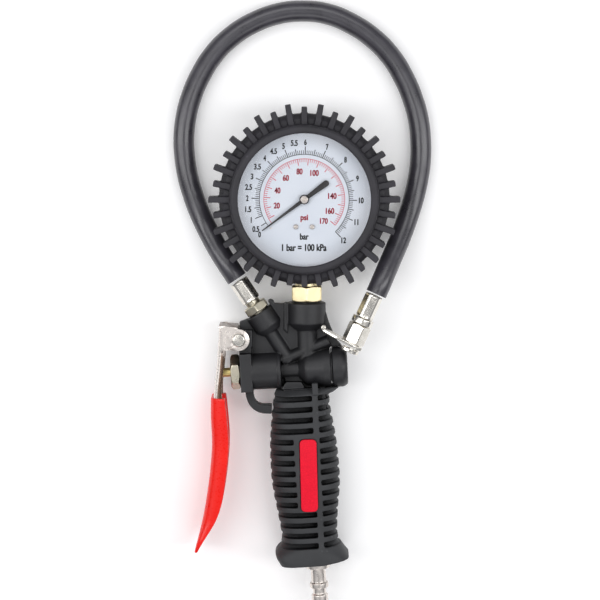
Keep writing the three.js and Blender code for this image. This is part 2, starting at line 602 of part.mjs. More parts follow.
// ---------------------------------------------------------------- clip-on chuck
const chuck = frameAt(CHUCK);
piece(chuck, "ferrule_right", ring(5.2, 2.9, -14.4, -0.2, 12), nickel);
const tailParts = [rod(2.6, -15, -1, 16), rod(6.4, -18.4, -14.8, 24), rod(3.4, -23, -18, 16)];
piece(chuck, "chuck_tail", shape(tailParts, [rod(1.5, -24, 0, 12)]), nickel);

const BARREL_TO = -30.6; // lower end of the hexagonal barrel
const NOSE = [-36, -34.2];
const chuckParts = [flatHexagon(11.8, BARREL_TO, -18.8), rod(5.8, NOSE[0], -30, 24)];
const plateSlot = box([-8, 3.7], [NOSE[1], BARREL_TO - 0.2], [-8, 8]);
const plateGap = box([3.6, 4.6], [-33.6, BARREL_TO - 0.4], [-8, 8]);
const chuckBores = [rod(3.7, -24, -18, 16), rod(4.1, -40, -23.9, 20), plateSlot, plateGap];
piece(chuck, "chuck_body", shape(chuckParts, chuckBores), nickel);
piece(chuck, "chuck_seal", ring(3.8, 1.5, -29, -26.4, 16), blackRubber);
piece(chuck, "depressor", shape([rod(1.1, -31.4, -24.6, 12), rod(3.3, -25.4, -24.4, 16)], [
  rod(0.7, -30, -23.6, 8),
]), brass);

// Thumb plate: it tilts on its right edge, and its hole bites on the valve's thread.
const PLATE_HINGE = { x: 4.1, y: -32.4 };
const PLATE_REST = 4; // degrees that the thumb end stands up towards the hose
const thumbOutline = [[-24, -3], [-24, 3], [-15, 6], [-2.4, 6], [-2.4, -6], [-15, -6]];
const plateBlank = shape(
  [
    plate(thumbOutline, -0.9, 0.9),
    alongZ(rod(6.4, -0.9, 0.9, 24)).translate(-4.1, 0, 0),
    rod(1.4, -3, 3, 14).translate(-23.8, 0, 1),
  ],
  [alongZ(rod(4.4, -2, 2, 20)).translate(-4.1, 0, 0), box([0.1, 6], [-8, 8], [-2, 2])],
);
piece(chuck, "chuck_plate", plateBlank
  .rotateX(-Math.PI / 2)
  .rotateZ(THREE.MathUtils.degToRad(-PLATE_REST))
  .translate(PLATE_HINGE.x, PLATE_HINGE.y, 0), nickel);

export default inflator;
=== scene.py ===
"""Looks of a tyre inflator with gauge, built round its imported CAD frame. Blender 4.5.

Pieces are modelled in millimetres in the local frame of the part they belong to, and every local
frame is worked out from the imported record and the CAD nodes' boxes.
"""

import json
import math

import bmesh
import bpy
from mathutils import Matrix, Vector


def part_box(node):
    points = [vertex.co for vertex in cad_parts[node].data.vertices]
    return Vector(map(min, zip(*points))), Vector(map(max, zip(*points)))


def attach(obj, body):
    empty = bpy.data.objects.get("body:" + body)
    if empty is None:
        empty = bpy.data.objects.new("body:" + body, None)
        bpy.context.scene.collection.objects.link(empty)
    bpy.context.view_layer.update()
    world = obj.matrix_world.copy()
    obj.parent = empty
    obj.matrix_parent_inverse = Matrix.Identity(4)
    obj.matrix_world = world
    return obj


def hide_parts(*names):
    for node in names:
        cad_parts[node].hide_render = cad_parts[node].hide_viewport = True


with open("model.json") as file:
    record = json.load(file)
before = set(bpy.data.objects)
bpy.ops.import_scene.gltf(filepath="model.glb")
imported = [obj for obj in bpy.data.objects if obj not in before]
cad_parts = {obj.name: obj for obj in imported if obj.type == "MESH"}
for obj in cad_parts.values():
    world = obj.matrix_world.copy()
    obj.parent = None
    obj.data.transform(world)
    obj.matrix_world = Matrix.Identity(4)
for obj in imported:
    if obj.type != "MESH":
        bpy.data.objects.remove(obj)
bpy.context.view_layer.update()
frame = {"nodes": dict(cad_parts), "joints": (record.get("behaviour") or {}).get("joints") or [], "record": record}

scene = bpy.context.scene
NODES = frame["nodes"]
JOINTS = {joint["name"]: joint for joint in frame["joints"]}
MOUNTS = {mount["name"]: mount for mount in frame["record"]["mounts"]}
MM = 0.001

# ------------ places, in millimetres


def centre(node):
    """Middle of a CAD node's box."""
    low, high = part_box(node)
    return (low + high) / 2 / MM


def at(point):
    """A point of the record in millimetres."""
    return Vector(point) / MM


def upright(origin, along_y):
    """Local frame whose +Y runs along a direction in the XY plane, and whose +Z is up."""
    angle = math.atan2(along_y.y, along_y.x) - math.pi / 2
    return Matrix.Translation(origin) @ Matrix.Rotation(angle, 4, "Z")


PIVOT = at(JOINTS["trigger_squeeze"]["pos_m"])
MID = PIVOT.z
FLAT = Matrix.Identity(4)
MID_PLANE = Matrix.Translation((0, 0, MID))

POPPET_X = 8.3  # the poppet's middle along the chamber
chamber_way = Vector(JOINTS["plunger_push"]["axis"]).normalized()
CHAMBER = upright(centre("poppet") - POPPET_X * chamber_way, Vector((-chamber_way.y, chamber_way.x, 0)))

TUBE_MIDDLE = -58.0  # the handle tube's middle, down from the top of the handle
handle_way = -Vector(MOUNTS["inlet_end"]["axis"]).normalized()
HANDLE = upright(centre("handle_tube") - TUBE_MIDDLE * handle_way, handle_way)

FERRULE_Y = 14.8  # the left ferrule's middle, out from the mouth of the hose boss
port_way = (centre("ferrule_left") - centre("hose_adaptor")).normalized()
PORT = upright(centre("ferrule_left") - FERRULE_Y * port_way, port_way)

TAIL_Y = -12.0  # the chuck tail's middle, on from the end of the hose
chuck_way = -Vector(MOUNTS["chuck_mouth"]["axis"]).normalized()
CHUCK = upright(centre("chuck_tail") - TAIL_Y * chuck_way, chuck_way)

stem_low, stem_high = (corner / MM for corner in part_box("stem_seal"))
STEM_X = (stem_low.x + stem_high.x) / 2
STEM = Matrix.Translation((STEM_X, 0, MID))

# ------------ camera

IMAGE_MM = 348.0  # width of the picture where it crosses the target
CAMERA_FAR = 1100.0
CAMERA_TILT = 6.5  # degrees off straight down, towards the gauge
SENSOR = 36.0


def make_camera():
    target = Vector((-2.44, -59.12, 18.0))
    tilt = math.radians(CAMERA_TILT)
    away = Vector((0, math.sin(tilt), math.cos(tilt)))
    camera = bpy.data.objects.new("camera", bpy.data.cameras.new("camera"))
    scene.collection.objects.link(camera)
    camera.data.sensor_width = SENSOR
    camera.data.lens = SENSOR * CAMERA_FAR / IMAGE_MM
    camera.location = (target + CAMERA_FAR * away) * MM
    camera.rotation_euler = (-tilt, 0, 0)
    camera.data.clip_start, camera.data.clip_end = 0.05, 10
    scene.camera = camera


make_camera()

# ------------ shader nodes


class Shader:
    """A node material with a Principled shader and short calls that add nodes to it."""

    def __init__(self, name, **values):
        self.material = bpy.data.materials.new(name)
        self.material.use_nodes = True
        self.nodes = self.material.node_tree.nodes
        self.links = self.material.node_tree.links
        self.main = self.nodes["Principled BSDF"]
        for socket, value in values.items():
            self.main.inputs[socket.replace("_", " ")].default_value = value
        texture = self.nodes.new("ShaderNodeTexCoord")
        scale = self.nodes.new("ShaderNodeMapping")
        scale.inputs["Scale"].default_value = (1 / MM,) * 3
        self.links.new(texture.outputs["Object"], scale.inputs["Vector"])
        self.place = scale.outputs["Vector"]

    def add(self, kind, inputs=(), **settings):
        node = self.nodes.new(kind)
        for key, value in settings.items():
            setattr(node, key, value)
        for socket, value in dict(inputs).items():
            if isinstance(value, bpy.types.NodeSocket):
                self.links.new(value, node.inputs[socket])
            else:
                node.inputs[socket].default_value = value
        return node

    def noise(self, scale, detail=3.0, rough=0.55, stretch=(1, 1, 1)):
        """Noise of that many cells to a millimetre."""
        place = self.place
        if stretch != (1, 1, 1):
            place = self.add("ShaderNodeMapping", {"Vector": place, "Scale": stretch}).outputs[0]
        inputs = {"Vector": place, "Scale": scale, "Detail": detail, "Roughness": rough}
        return self.add("ShaderNodeTexNoise", inputs).outputs["Fac"]

    def between(self, value, low, high, to_low=0.0, to_high=1.0):
        inputs = {"Value": value, "From Min": low, "From Max": high, "To Min": to_low, "To Max": to_high}
        return self.add("ShaderNodeMapRange", inputs).outputs["Result"]

    def maths(self, operation, a, b):
        node = self.add("ShaderNodeMath", {0: a, 1: b}, operation=operation)
        return node.outputs[0]

    def mix(self, factor, a, b, blend="MIX"):
        node = self.add("ShaderNodeMix", data_type="RGBA", blend_type=blend)
        for index, value in ((0, factor), (6, a), (7, b)):
            if isinstance(value, bpy.types.NodeSocket):
                self.links.new(value, node.inputs[index])
            else:
                node.inputs[index].default_value = value
        return node.outputs[2]

    def hollows(self, reach=4.0):
        """1 in the open and towards 0 in grooves and corners that narrow within reach millimetres."""
        inputs = {"Distance": reach * MM}
        return self.add("ShaderNodeAmbientOcclusion", inputs, samples=6, only_local=True).outputs["AO"]

    def edges(self, low=0.52, high=0.62):
        """1 on outward edges of a dense mesh and 0 elsewhere."""
        return self.between(self.add("ShaderNodeNewGeometry").outputs["Pointiness"], low, high)

    def bump(self, height, strength, distance):
        inputs = {"Height": height, "Strength": strength, "Distance": distance * MM}
        previous = self.main.inputs["Normal"]
        if previous.is_linked:
            inputs["Normal"] = previous.links[0].from_socket
        self.links.new(self.add("ShaderNodeBump", inputs).outputs["Normal"], previous)

    def set(self, **sockets):
        for name, socket in sockets.items():
            self.links.new(socket, self.main.inputs[name.replace("_", " ")])


def grey(value, alpha=1.0):
    return (value, value, value, alpha)


def rgb(red, green, blue):
    return (red, green, blue, 1.0)


def moulded_rubber(name, dark, light, rough=0.62, reach=4.0):
    """Satin moulded rubber or nylon: fine grain, faint clouding, painted shade in hollows and patchy painted
    highlights on outward edges.
    """
    s = Shader(name, Roughness=rough, Specular_IOR_Level=0.42)
    clouds = s.noise(0.07, 4.0)
    grain = s.noise(2.6, 2.0)
    colour = s.mix(s.between(clouds, 0.35, 0.68), dark, light)
    # painted highlight: outward edges are lightened in patches towards a pale copy of the colour
    edge_highlight = s.maths("MULTIPLY", s.edges(), s.between(s.noise(0.35), 0.3, 0.6, 0.25, 1.0))
    pale = tuple(min(1.0, 2.1 * channel) for channel in light[:3]) + (1.0,)
    colour = s.mix(s.maths("MULTIPLY", edge_highlight, 0.55), colour, pale)
    # painted shade: hollows and grooves within reach are darkened towards near black and lose most of their gloss
    open_to_light = s.between(s.hollows(reach), 0.35, 0.85)
    s.set(Base_Color=s.mix(open_to_light, grey(0.0015), colour))
    s.set(Specular_IOR_Level=s.between(open_to_light, 0.0, 1.0, 0.05, 0.42))
    s.set(Roughness=s.between(s.maths("ADD", clouds, grain), 0.7, 1.3, rough - 0.08, rough + 0.1))
    s.bump(grain, 0.25, 0.05)
    s.bump(s.noise(0.5, 3.0), 0.12, 0.12)
    return s.material


def cast_metal(name, dark, light):
    """Black painted casting with a fine orange peel, painted shade in its hollows and patchy painted highlights on
    its edges.
    """
    s = Shader(name, Specular_IOR_Level=0.5, Roughness=0.46)
    peel = s.noise(1.5, 2.0)
    clouds = s.noise(0.06, 4.0)
    # painted highlight: outward edges are lightened in patches towards dark grey
    edge_highlight = s.maths("MULTIPLY", s.edges(0.53, 0.66), s.between(s.noise(0.5), 0.4, 0.65, 0.1, 1.0))
    base = s.mix(s.between(clouds, 0.35, 0.7), dark, light)
    base = s.mix(s.maths("MULTIPLY", edge_highlight, 0.22), base, grey(0.08))
    # painted shade: hollows within 8 mm are darkened towards black and lose most of their gloss
    open_to_light = s.between(s.hollows(8.0), 0.35, 0.95)
    s.set(Base_Color=s.mix(open_to_light, grey(0.003), base))
    s.set(Specular_IOR_Level=s.between(open_to_light, 0.0, 1.0, 0.08, 0.5))
    s.set(Roughness=s.between(peel, 0.3, 0.7, 0.4, 0.54))
    s.bump(peel, 0.3, 0.08)
    s.bump(s.noise(6.0, 2.0), 0.12, 0.02)
    return s.material


def metal(name, colour, stain_and_painted_dark_tone, rough=0.2, scratches=0.25):
    """Plated or bare metal with machining marks, faint stains and uneven gloss."""
    s = Shader(name, Metallic=1.0, Roughness=rough)
    stains = s.noise(0.25, 5.0, 0.6)
    marks = s.noise(1.3, 4.0, 0.7, stretch=(1.0, 5.0, 1.0))
    s.set(Base_Color=s.mix(s.between(stains, 0.48, 0.75, 0.0, 0.4), colour, stain_and_painted_dark_tone))
    s.set(Roughness=s.between(s.maths("ADD", stains, marks), 0.7, 1.4, rough - 0.06, rough + 0.14))
    s.bump(marks, scratches, 0.006)
    s.bump(s.noise(0.25, 2.0), 0.06, 0.05)
    return s.material


def worn_steel(name, colour, stain_and_painted_dark_tone, low, high):
    """Plated steel with a painted brown reflection on its flat sides that face up or down, below a height in Y,
    and painted shade all over its top edge, the faces turned towards +Y.
    """
    s = Shader(name, Metallic=1.0, Roughness=0.26)
    spots = s.noise(0.3, 4.0, 0.6)
    along = s.add("ShaderNodeSeparateXYZ", {"Vector": s.place}).outputs["Y"]
    ragged = s.maths("ADD", along, s.between(spots, 0.3, 0.7, -3.0, 3.0))
    facing = s.add("ShaderNodeSeparateXYZ", {"Vector": s.nodes["Texture Coordinate"].outputs["Normal"]})
    # painted reflection: flat sides facing up or down take the brown tone, fully metallic, below a ragged height
    # in Y
    flat_side = s.between(s.maths("ABSOLUTE", facing.outputs["Z"], 0.0), 0.86, 0.97)
    # painted shade: faces turned towards +Y take the same dark tone
    painted_top_shade = s.between(facing.outputs["Y"], 0.5, 0.8)
    share = s.maths("MULTIPLY", s.between(ragged, low, high, 1.0, 0.0), flat_side)
    share = s.maths("MAXIMUM", share, painted_top_shade)
    s.set(Base_Color=s.mix(share, colour, stain_and_painted_dark_tone), Metallic=s.between(share, 0.0, 1.0, 0.6, 1.0))
    s.set(Roughness=s.between(spots, 0.3, 0.7, 0.2, 0.32))
    s.bump(s.noise(1.3, 3.0, 0.6, stretch=(1.0, 5.0, 1.0)), 0.08, 0.005)
    return s.material


def vinyl(name, colour, deep):
    """Dipped vinyl: glossy, with soft waves where it dripped."""
    s = Shader(name, Roughness=0.3, Coat_Weight=0.12, Coat_Roughness=0.12, Specular_IOR_Level=0.3)
    waves = s.noise(0.05, 2.0)
    s.set(Base_Color=s.mix(s.between(waves, 0.3, 0.7), colour, deep))
    s.set(Roughness=s.between(s.noise(0.8), 0.3, 0.7, 0.24, 0.38))
    s.bump(waves, 0.3, 0.6)
    s.bump(s.noise(1.6, 2.0), 0.08, 0.03)
    return s.material


def print_ink(name, colour, rough=0.5, gloss=0.5):
    """Screen-printed ink or enamel, slightly uneven."""
    s = Shader(name, Roughness=rough, Specular_IOR_Level=gloss)
    blotch = s.noise(1.8, 3.0)
    thin = tuple(min(1.0, channel * 1.25 + 0.003) for channel in colour[:3]) + (1.0,)
    s.set(Base_Color=s.mix(s.between(blotch, 0.4, 0.7), colour, thin))
    s.set(Roughness=s.between(blotch, 0.3, 0.7, rough - 0.08, rough + 0.08))
    s.bump(s.noise(4.0), 0.1, 0.01)
    return s.material


def dial_paint(name):
    s = Shader(name, Roughness=0.5, Specular_IOR_Level=0.4)
    wash = s.noise(0.03, 2.0)
    s.set(Base_Color=s.mix(s.between(wash, 0.35, 0.65), rgb(0.73, 0.78, 0.86), rgb(0.79, 0.83, 0.90)))
    s.set(Roughness=s.between(s.noise(3.0), 0.3, 0.7, 0.44, 0.58))
    s.bump(s.noise(8.0, 1.0), 0.08, 0.01)
    return s.material


def lens_glass(name):
    s = Shader(name, Roughness=0.04, Alpha=0.05, Base_Color=grey(0.08))
    s.set(Roughness=s.between(s.noise(0.2, 3.0), 0.3, 0.7, 0.02, 0.09))
    s.bump(s.noise(0.1, 1.0), 0.05, 0.05)
    return s.material


def hose_rubber(name):
    """Extruded rubber hose: smooth with faint lengthways streaks."""
    s = Shader(name, Roughness=0.3, Specular_IOR_Level=0.8, Sheen_Weight=0.1)
    clouds = s.noise(0.09, 4.0)
    grain = s.noise(1.8, 3.0)
    s.set(Base_Color=s.mix(s.between(clouds, 0.3, 0.7), rgb(0.024, 0.022, 0.029), rgb(0.042, 0.039, 0.050)))
    s.set(Roughness=s.between(s.maths("ADD", clouds, grain), 0.7, 1.3, 0.26, 0.38))
    s.bump(grain, 0.16, 0.05)
    return s.material


def floor_paper(name):
    s = Shader(name, Roughness=0.9, Specular_IOR_Level=0.1, Emission_Color=grey(1.0), Emission_Strength=0.14)
    s.set(Base_Color=s.mix(s.noise(0.004, 2.0), rgb(0.90, 0.895, 0.895), rgb(0.94, 0.938, 0.935)))
    s.bump(s.noise(1.0), 0.02, 0.05)
    return s.material


SLOT_MATERIALS = {
    "boot_rubber": moulded_rubber("boot rubber", rgb(0.018, 0.017, 0.021), rgb(0.031, 0.029, 0.036), 0.56),
    "grip_rubber": moulded_rubber("grip rubber", rgb(0.026, 0.027, 0.029), rgb(0.038, 0.039, 0.042), 0.6, 5),
    "black_casting": cast_metal("black casting", rgb(0.009, 0.009, 0.0105), rgb(0.015, 0.015, 0.0175)),
    "hose_rubber": hose_rubber("hose rubber"),
    "seal_rubber": moulded_rubber("seal rubber", rgb(0.012, 0.012, 0.013), rgb(0.02, 0.02, 0.021), 0.5),
    "nickel": metal("bright nickel", rgb(0.80, 0.77, 0.71), rgb(0.66, 0.61, 0.52), 0.22, 0.12),
    "steel": metal("zinc plated steel", rgb(0.78, 0.72, 0.67), rgb(0.62, 0.55, 0.49), 0.28, 0.1),
    "brass": metal("brass", rgb(0.86, 0.75, 0.47), rgb(0.80, 0.66, 0.38), 0.34, 0.1),
    "aluminium": metal("aluminium", rgb(0.74, 0.75, 0.76), rgb(0.6, 0.6, 0.6), 0.34),
    "red_vinyl": vinyl("red vinyl", rgb(0.90, 0.014, 0.006), rgb(0.80, 0.008, 0.004)),
    "label_red": print_ink("label red", rgb(0.72, 0.002, 0.022), 0.5, 0.2),
    "dial_white": dial_paint("dial paint"),
    "pointer_black": print_ink("pointer black", rgb(0.012, 0.011, 0.012), 0.4),
    "lens_glass": lens_glass("lens glass"),
}
DULL_NICKEL = metal("dull nickel", rgb(0.60, 0.56, 0.45), rgb(0.44, 0.39, 0.28), 0.3, 0.12)
# the dark brown tone is a painted reflection on the flat sides and painted shade on the top edge
TRIGGER_STEEL = worn_steel("trigger steel", rgb(0.80, 0.74, 0.69), rgb(0.14, 0.09, 0.065), -92, -86)
DULL_BRASS = metal("worn brass", rgb(0.72, 0.58, 0.24), rgb(0.55, 0.43, 0.17), 0.38)
DIAL_BLACK = print_ink("dial black", rgb(0.010, 0.010, 0.012))
DIAL_RED = print_ink("dial red", rgb(0.62, 0.04, 0.07))

# ------------ mesh building, in millimetres

SHARP = math.radians(32)


def solid(vertices, faces):
    """A closed mesh object in local millimetres, its normals facing out."""
    mesh = bpy.data.meshes.new("part")
    mesh.from_pydata([tuple(v) for v in vertices], [], faces)
    work = bmesh.new()
    work.from_mesh(mesh)
    bmesh.ops.remove_doubles(work, verts=work.verts, dist=1e-4)
    bmesh.ops.recalc_face_normals(work, faces=work.faces)
    work.to_mesh(mesh)
    work.free()
    obj = bpy.data.objects.new("part", mesh)
    scene.collection.objects.link(obj)
    return obj


def moved(obj, matrix):
    obj.data.transform(matrix)
    return obj


def shifted(obj, x=0.0, y=0.0, z=0.0):
    return moved(obj, Matrix.Translation((x, y, z)))


def turned_to(obj, degrees, axis):
    return moved(obj, Matrix.Rotation(math.radians(degrees), 4, axis))


def along_z(obj):
    """A piece made along +Y turned to stand along +Z."""
    return turned_to(obj, 90, "X")


def along_x(obj):
    """A piece made along +Y turned to run along +X."""
    return turned_to(obj, -90, "Z")


def apply_modifiers(obj):
    evaluated = obj.evaluated_get(bpy.context.evaluated_depsgraph_get())
    mesh = bpy.data.meshes.new_from_object(evaluated)
    obj.modifiers.clear()
    obj.data = mesh
    return obj


def boolean(obj, others, operation):
    """obj with the others joined on or taken away, which then no longer exist."""
    if not others:
        return obj
    group = bpy.data.collections.new("operands")
    for other in others:
        group.objects.link(other)
    modifier = obj.modifiers.new("boolean", "BOOLEAN")
    modifier.operation = operation
    modifier.solver = "EXACT"
    modifier.operand_type = "COLLECTION"
    modifier.collection = group
    apply_modifiers(obj)
    for other in others:
        bpy.data.objects.remove(other)
    bpy.data.collections.remove(group)
    return obj


def joined(parts, cutters=()):
    """The parts as one solid, with the cutters taken away."""
    whole = boolean(parts[0], parts[1:], "UNION")
    return boolean(whole, list(cutters), "DIFFERENCE")


def moulded(obj, voxel, rounding):
    """A cast or moulded skin: an even fine mesh with every edge softened."""
    remesh = obj.modifiers.new("skin", "REMESH")
    remesh.mode = "VOXEL"
    remesh.voxel_size = voxel
    smooth = obj.modifiers.new("soften", "SMOOTH")
    smooth.factor = 0.5
    smooth.iterations = rounding
    return apply_modifiers(obj)


def bevelled(obj, width, segments=2, angle=30):
    bevel = obj.modifiers.new("edges", "BEVEL")
    bevel.width = width
    bevel.segments = segments
    bevel.limit_method = "ANGLE"
    bevel.angle_limit = math.radians(angle)
    bevel.use_clamp_overlap = True
    return apply_modifiers(obj)


def rounded(points, radius, closed=False, steps=4):
    """A polyline with its corners turned into arcs of about that radius."""
    line = [Vector(point) for point in points]
    count = len(line)
    made = []
    for index, corner in enumerate(line):
        if not closed and index in (0, count - 1):
            made.append(corner)
            continue
        before, after = line[index - 1], line[(index + 1) % count]
        reach = min(radius, 0.45 * (before - corner).length, 0.45 * (after - corner).length)
        start = corner + (before - corner).normalized() * reach
        end = corner + (after - corner).normalized() * reach
        for step in range(steps + 1):
            t = step / steps
            made.append((1 - t) ** 2 * start + 2 * t * (1 - t) * corner + t**2 * end)
    return made


def lathe(profile, edge=0.25, segments=96):
    """Turned solid about +Y from [radius, height] points, from axis to axis or closed on themselves."""
    on_axis = profile[0][0] == 0
    line = rounded(profile, edge, closed=not on_axis)
    vertices, faces = [], []
    for step in range(segments):
        angle = 2 * math.pi * step / segments
        vertices += [(r * math.cos(angle), y, r * math.sin(angle)) for r, y in line]
    rows = len(line)
    spans = rows - 1 if on_axis else rows
    for step in range(segments):
        a, b = step * rows, ((step + 1) % segments) * rows
        for row in range(spans):
            after = (row + 1) % rows
            faces.append((a + row, a + after, b + after, b + row))
    return solid(vertices, faces)


def radial(radius, heights, bore=0.0, segments=144):
    """Solid about +Y whose radius is radius(angle, height), with a bore right through if one is given."""
    vertices, faces = [], []
    for y in heights:
        for step in range(segments):
            angle = 2 * math.pi * step / segments
            r = radius(angle, y)
            vertices.append((r * math.cos(angle), y, r * math.sin(angle)))
    rings = len(heights)
    if bore:
        for y in (heights[-1], heights[0]):
            for step in range(segments):
                angle = 2 * math.pi * step / segments
                vertices.append((bore * math.cos(angle), y, bore * math.sin(angle)))
        rings += 2
    for ring in range(rings if bore else rings - 1):
        a, b = ring * segments, ((ring + 1) % rings) * segments
        for step in range(segments):
            after = (step + 1) % segments
            faces.append((a + step, a + after, b + after, b + step))
    if not bore:
        for y, ring in ((heights[0], 0), (heights[-1], rings - 1)):
            vertices.append((0, y, 0))
            for step in range(segments):
                after = (step + 1) % segments
                faces.append((ring * segments + step, ring * segments + after, len(vertices) - 1))
    return solid(vertices, faces)


def soft_min(values, blend):
    """The least of the values, with the corner between two of them rounded."""
    least = min(values)
    return least - blend * math.log(sum(math.exp((least - value) / blend) for value in values))


def spaced(low, high, step):
    count = max(1, round((high - low) / step))
    return [low + (high - low) * index / count for index in range(count + 1)]


def hexagon(across, low, high, chamfer=0.9, bore=0.0, turn=0.0, crown=0.12):
    """Chamfered hexagon along +Y with slightly rounded corners and a flat towards +Z when turn is 0."""
    flats = [math.radians(60 * side + 90 + turn) for side in range(6)]
    corner = across / math.sqrt(3)

    def radius(angle, y):
        reach = [across / 2 / math.cos(angle - flat) for flat in flats if math.cos(angle - flat) > 0.4]
        depth = min(y - low, high - y)
        cone = corner - max(0.0, chamfer - depth) * 1.75 + 0.1
        return soft_min(reach + [cone], crown)

    heights = spaced(low, low + chamfer, 0.12) + spaced(low + chamfer, high - chamfer, 0.8)[1:-1]
    heights += spaced(high - chamfer, high, 0.12)
    return radial(radius, heights, bore, 180)


def prism(outline, low, high):
    """An outline in X and Y raised from low to high along Z."""
    count = len(outline)
    vertices = [(x, y, z) for z in (low, high) for x, y in outline]
    faces = [tuple(range(count)), tuple(range(count, 2 * count))]
    faces += [(i, (i + 1) % count, (i + 1) % count + count, i + count) for i in range(count)]
    return solid(vertices, faces)


def block(x, y, z):
    return prism([(x[0], y[0]), (x[1], y[0]), (x[1], y[1]), (x[0], y[1])], *z)


def rod(radius, low, high, segments=48):
    return lathe([(0, low), (radius, low), (radius, high), (0, high)], 0, segments)


def ring(outer, inner, low, high, edge=0.2, segments=96):
    return lathe([(inner, low), (outer, low), (outer, high), (inner, high)], edge, segments)


def smoothstep(t, low=0.0, high=1.0):
    t = min(1.0, max(0.0, (t - low) / (high - low)))
    return t * t * (3 - 2 * t)


def spline(points, count):
    """count + 1 points along a smooth curve through the given ones, evenly spread by parameter."""
    line = [Vector(point) for point in points]
    made = []
    for step in range(count + 1):
        where = step / count * (len(line) - 1)
        index = min(int(where), len(line) - 2)
        t = where - index
        a, b, c, d = (line[max(0, min(len(line) - 1, index + k))] for k in (-1, 0, 1, 2))
        square, cube = 2 * a - 5 * b + 4 * c - d, 3 * b - a - 3 * c + d
        made.append(0.5 * (2 * b + (c - a) * t + square * t**2 + cube * t**3))
    return made


def loft(sections, closed_ends=True):
    """A skin through closed sections that have the same number of points."""
    count = len(sections[0])
    vertices = [point for section in sections for point in section]
    faces = []
    for row in range(len(sections) - 1):
        for i in range(count):
            a, b = row * count + i, row * count + (i + 1) % count
            faces.append((a, b, b + count, a + count))
    if closed_ends:
        faces += [tuple(range(count)), tuple(range(len(vertices) - count, len(vertices)))]
    return solid(vertices, faces)


# ------------ pieces


def finish_piece(obj, name, matrix, slot, replaces=(), body="inflator", material=None):
    """Names a piece, puts it in the row frame in metres and says what it rides on and what it is made of."""
    obj.data.transform(Matrix.Scale(MM, 4) @ matrix)
    obj.name = name
    obj.data.name = name
    obj.data.materials.clear()
    obj.data.materials.append(material or SLOT_MATERIALS[slot])
    obj.data.shade_smooth()
    obj.data.set_sharp_from_angle(angle=SHARP)
    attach(obj, body)
    if replaces:
        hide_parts(*replaces)
    return obj


# ------------ hose

HOSE_D = 12.2
# The hose's route, point for point as the CAD hose has it.
HOSE_ROUTE = [
    (-39.0, -46.8, 17), (-43.4, -40.2, 16.7), (-48.3, -32.8, 14.4), (-53.0, -25.0, 11.0),
    (-57.4, -16.8, 8.0), (-61.6, -7.6, 6.5), (-65.0, 2.0, 6.2), (-67.9, 12.7, 6.2),
    (-69.4, 23.0, 6.2), (-69.9, 34.0, 6.2), (-68.6, 46.0, 6.2), (-65.4, 58.0, 6.2),
    (-60.2, 70.0, 6.2), (-52.6, 82.0, 6.2), (-42.2, 92.4, 6.2), (-29.4, 100.4, 6.2),
    (-15.0, 105.6, 6.2), (-0.7, 107.1, 6.2), (13.6, 105.4, 6.2), (27.2, 99.9, 6.2),
    (39.4, 91.9, 6.2), (49.8, 81.4, 6.2), (57.6, 69.0, 6.2), (62.8, 57.0, 6.2),
    (66.2, 45.0, 6.2), (67.6, 33.0, 6.2), (67.6, 21.0, 6.2), (66.2, 10.0, 6.2),
    (63.7, -1.0, 6.9), (60.0, -12.4, 9.4), (55.9, -23.0, 13.4), (51.1, -33.4, 18.6),
    (46.4, -43.4, 24.2), (43.7, -49.4, 26.5), (41.32, -54.63, 27),
]


def make_hose():
    """A round hose along one smooth open curve."""
    curve = bpy.data.curves.new("hose_line", "CURVE")
    curve.dimensions = "3D"
    curve.bevel_depth = HOSE_D / 2 * MM
    curve.bevel_resolution = 10
    curve.resolution_u = 10
    curve.use_fill_caps = True
    line = curve.splines.new("BEZIER")
    line.bezier_points.add(len(HOSE_ROUTE) - 1)
    for point, place in zip(line.bezier_points, HOSE_ROUTE):
        point.co = Vector(place) * MM
        point.handle_left_type = point.handle_right_type = "AUTO"
    curve.materials.append(SLOT_MATERIALS["hose_rubber"])
    hose = bpy.data.objects.new("rubber_hose", curve)
    scene.collection.objects.link(hose)
    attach(hose, "inflator")
    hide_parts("hose")
    return hose


hose = make_hose()

# ------------ gauge boot

BOOT_R = 48.7
FINS = 36
FIN_Z = (20.5, 35.6)
BOOT_PROFILE = [
    (0, 0), (42, 0), (46.4, 2.6), (BOOT_R, 7), (BOOT_R, 30.5), (46, 33.6), (42.8, 34.4), (42.3, 37.8),
    (41.0, 39), (38.3, 39), (37.7, 38.4), (37.7, 36.7), (40.7, 36.7), (40.7, 1.6), (0, 1.6),
]


def make_boot():
    shell = along_z(lathe(BOOT_PROFILE, 0.5, 144))
    fins = []
    for index in range(FINS):
        angle = 360 * index / FINS
        over_stem = abs(angle - 270) <= 10
        tip = 49.6 if over_stem else 52.6 if index % 2 else 54.6
        outline = [(43, -1.75), (tip, -1.6), (tip, 1.6), (43, 1.75)]
        fins.append(turned_to(prism(outline, *FIN_Z), angle, "Z"))
    slot = block((STEM_X - 9.5, STEM_X + 9.5), (-56, -38), (MID - 9.5, MID + 9.5))
    vent = shifted(along_z(rod(2.5, -1, 3)), y=24)
    back_groove = along_z(ring(33, 31.4, -1, 0.5))
    boot = moulded(joined([shell, *fins], [slot, vent, back_groove]), 0.5, 3)
    return finish_piece(boot, "rubber_boot", FLAT, "boot_rubber", ["boot"])


make_boot()

# ------------ dial and its print

DIAL_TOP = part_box("dial")[1].z / MM
INK = 0.05  # thickness of the print
BOLD = 0.1  # how far the strokes of the letters are thickened in the font
HEAVY = 0.1  # how far two copies of each letter stand apart, for heavier strokes
BAR_ZERO = 216.6  # direction of the bar scale's zero
BAR_ONE = 201.3
BAR_STEP = 22.49  # degrees to a bar above 1
PSI_TO_BAR = 0.0689476
BAR_R = 25.6  # the circles that the marks stand on, and the ones that the figures are centred on
PSI_R = 23.1
BAR_FIGURES_R = 32.5
PSI_FIGURES_R = 16.1
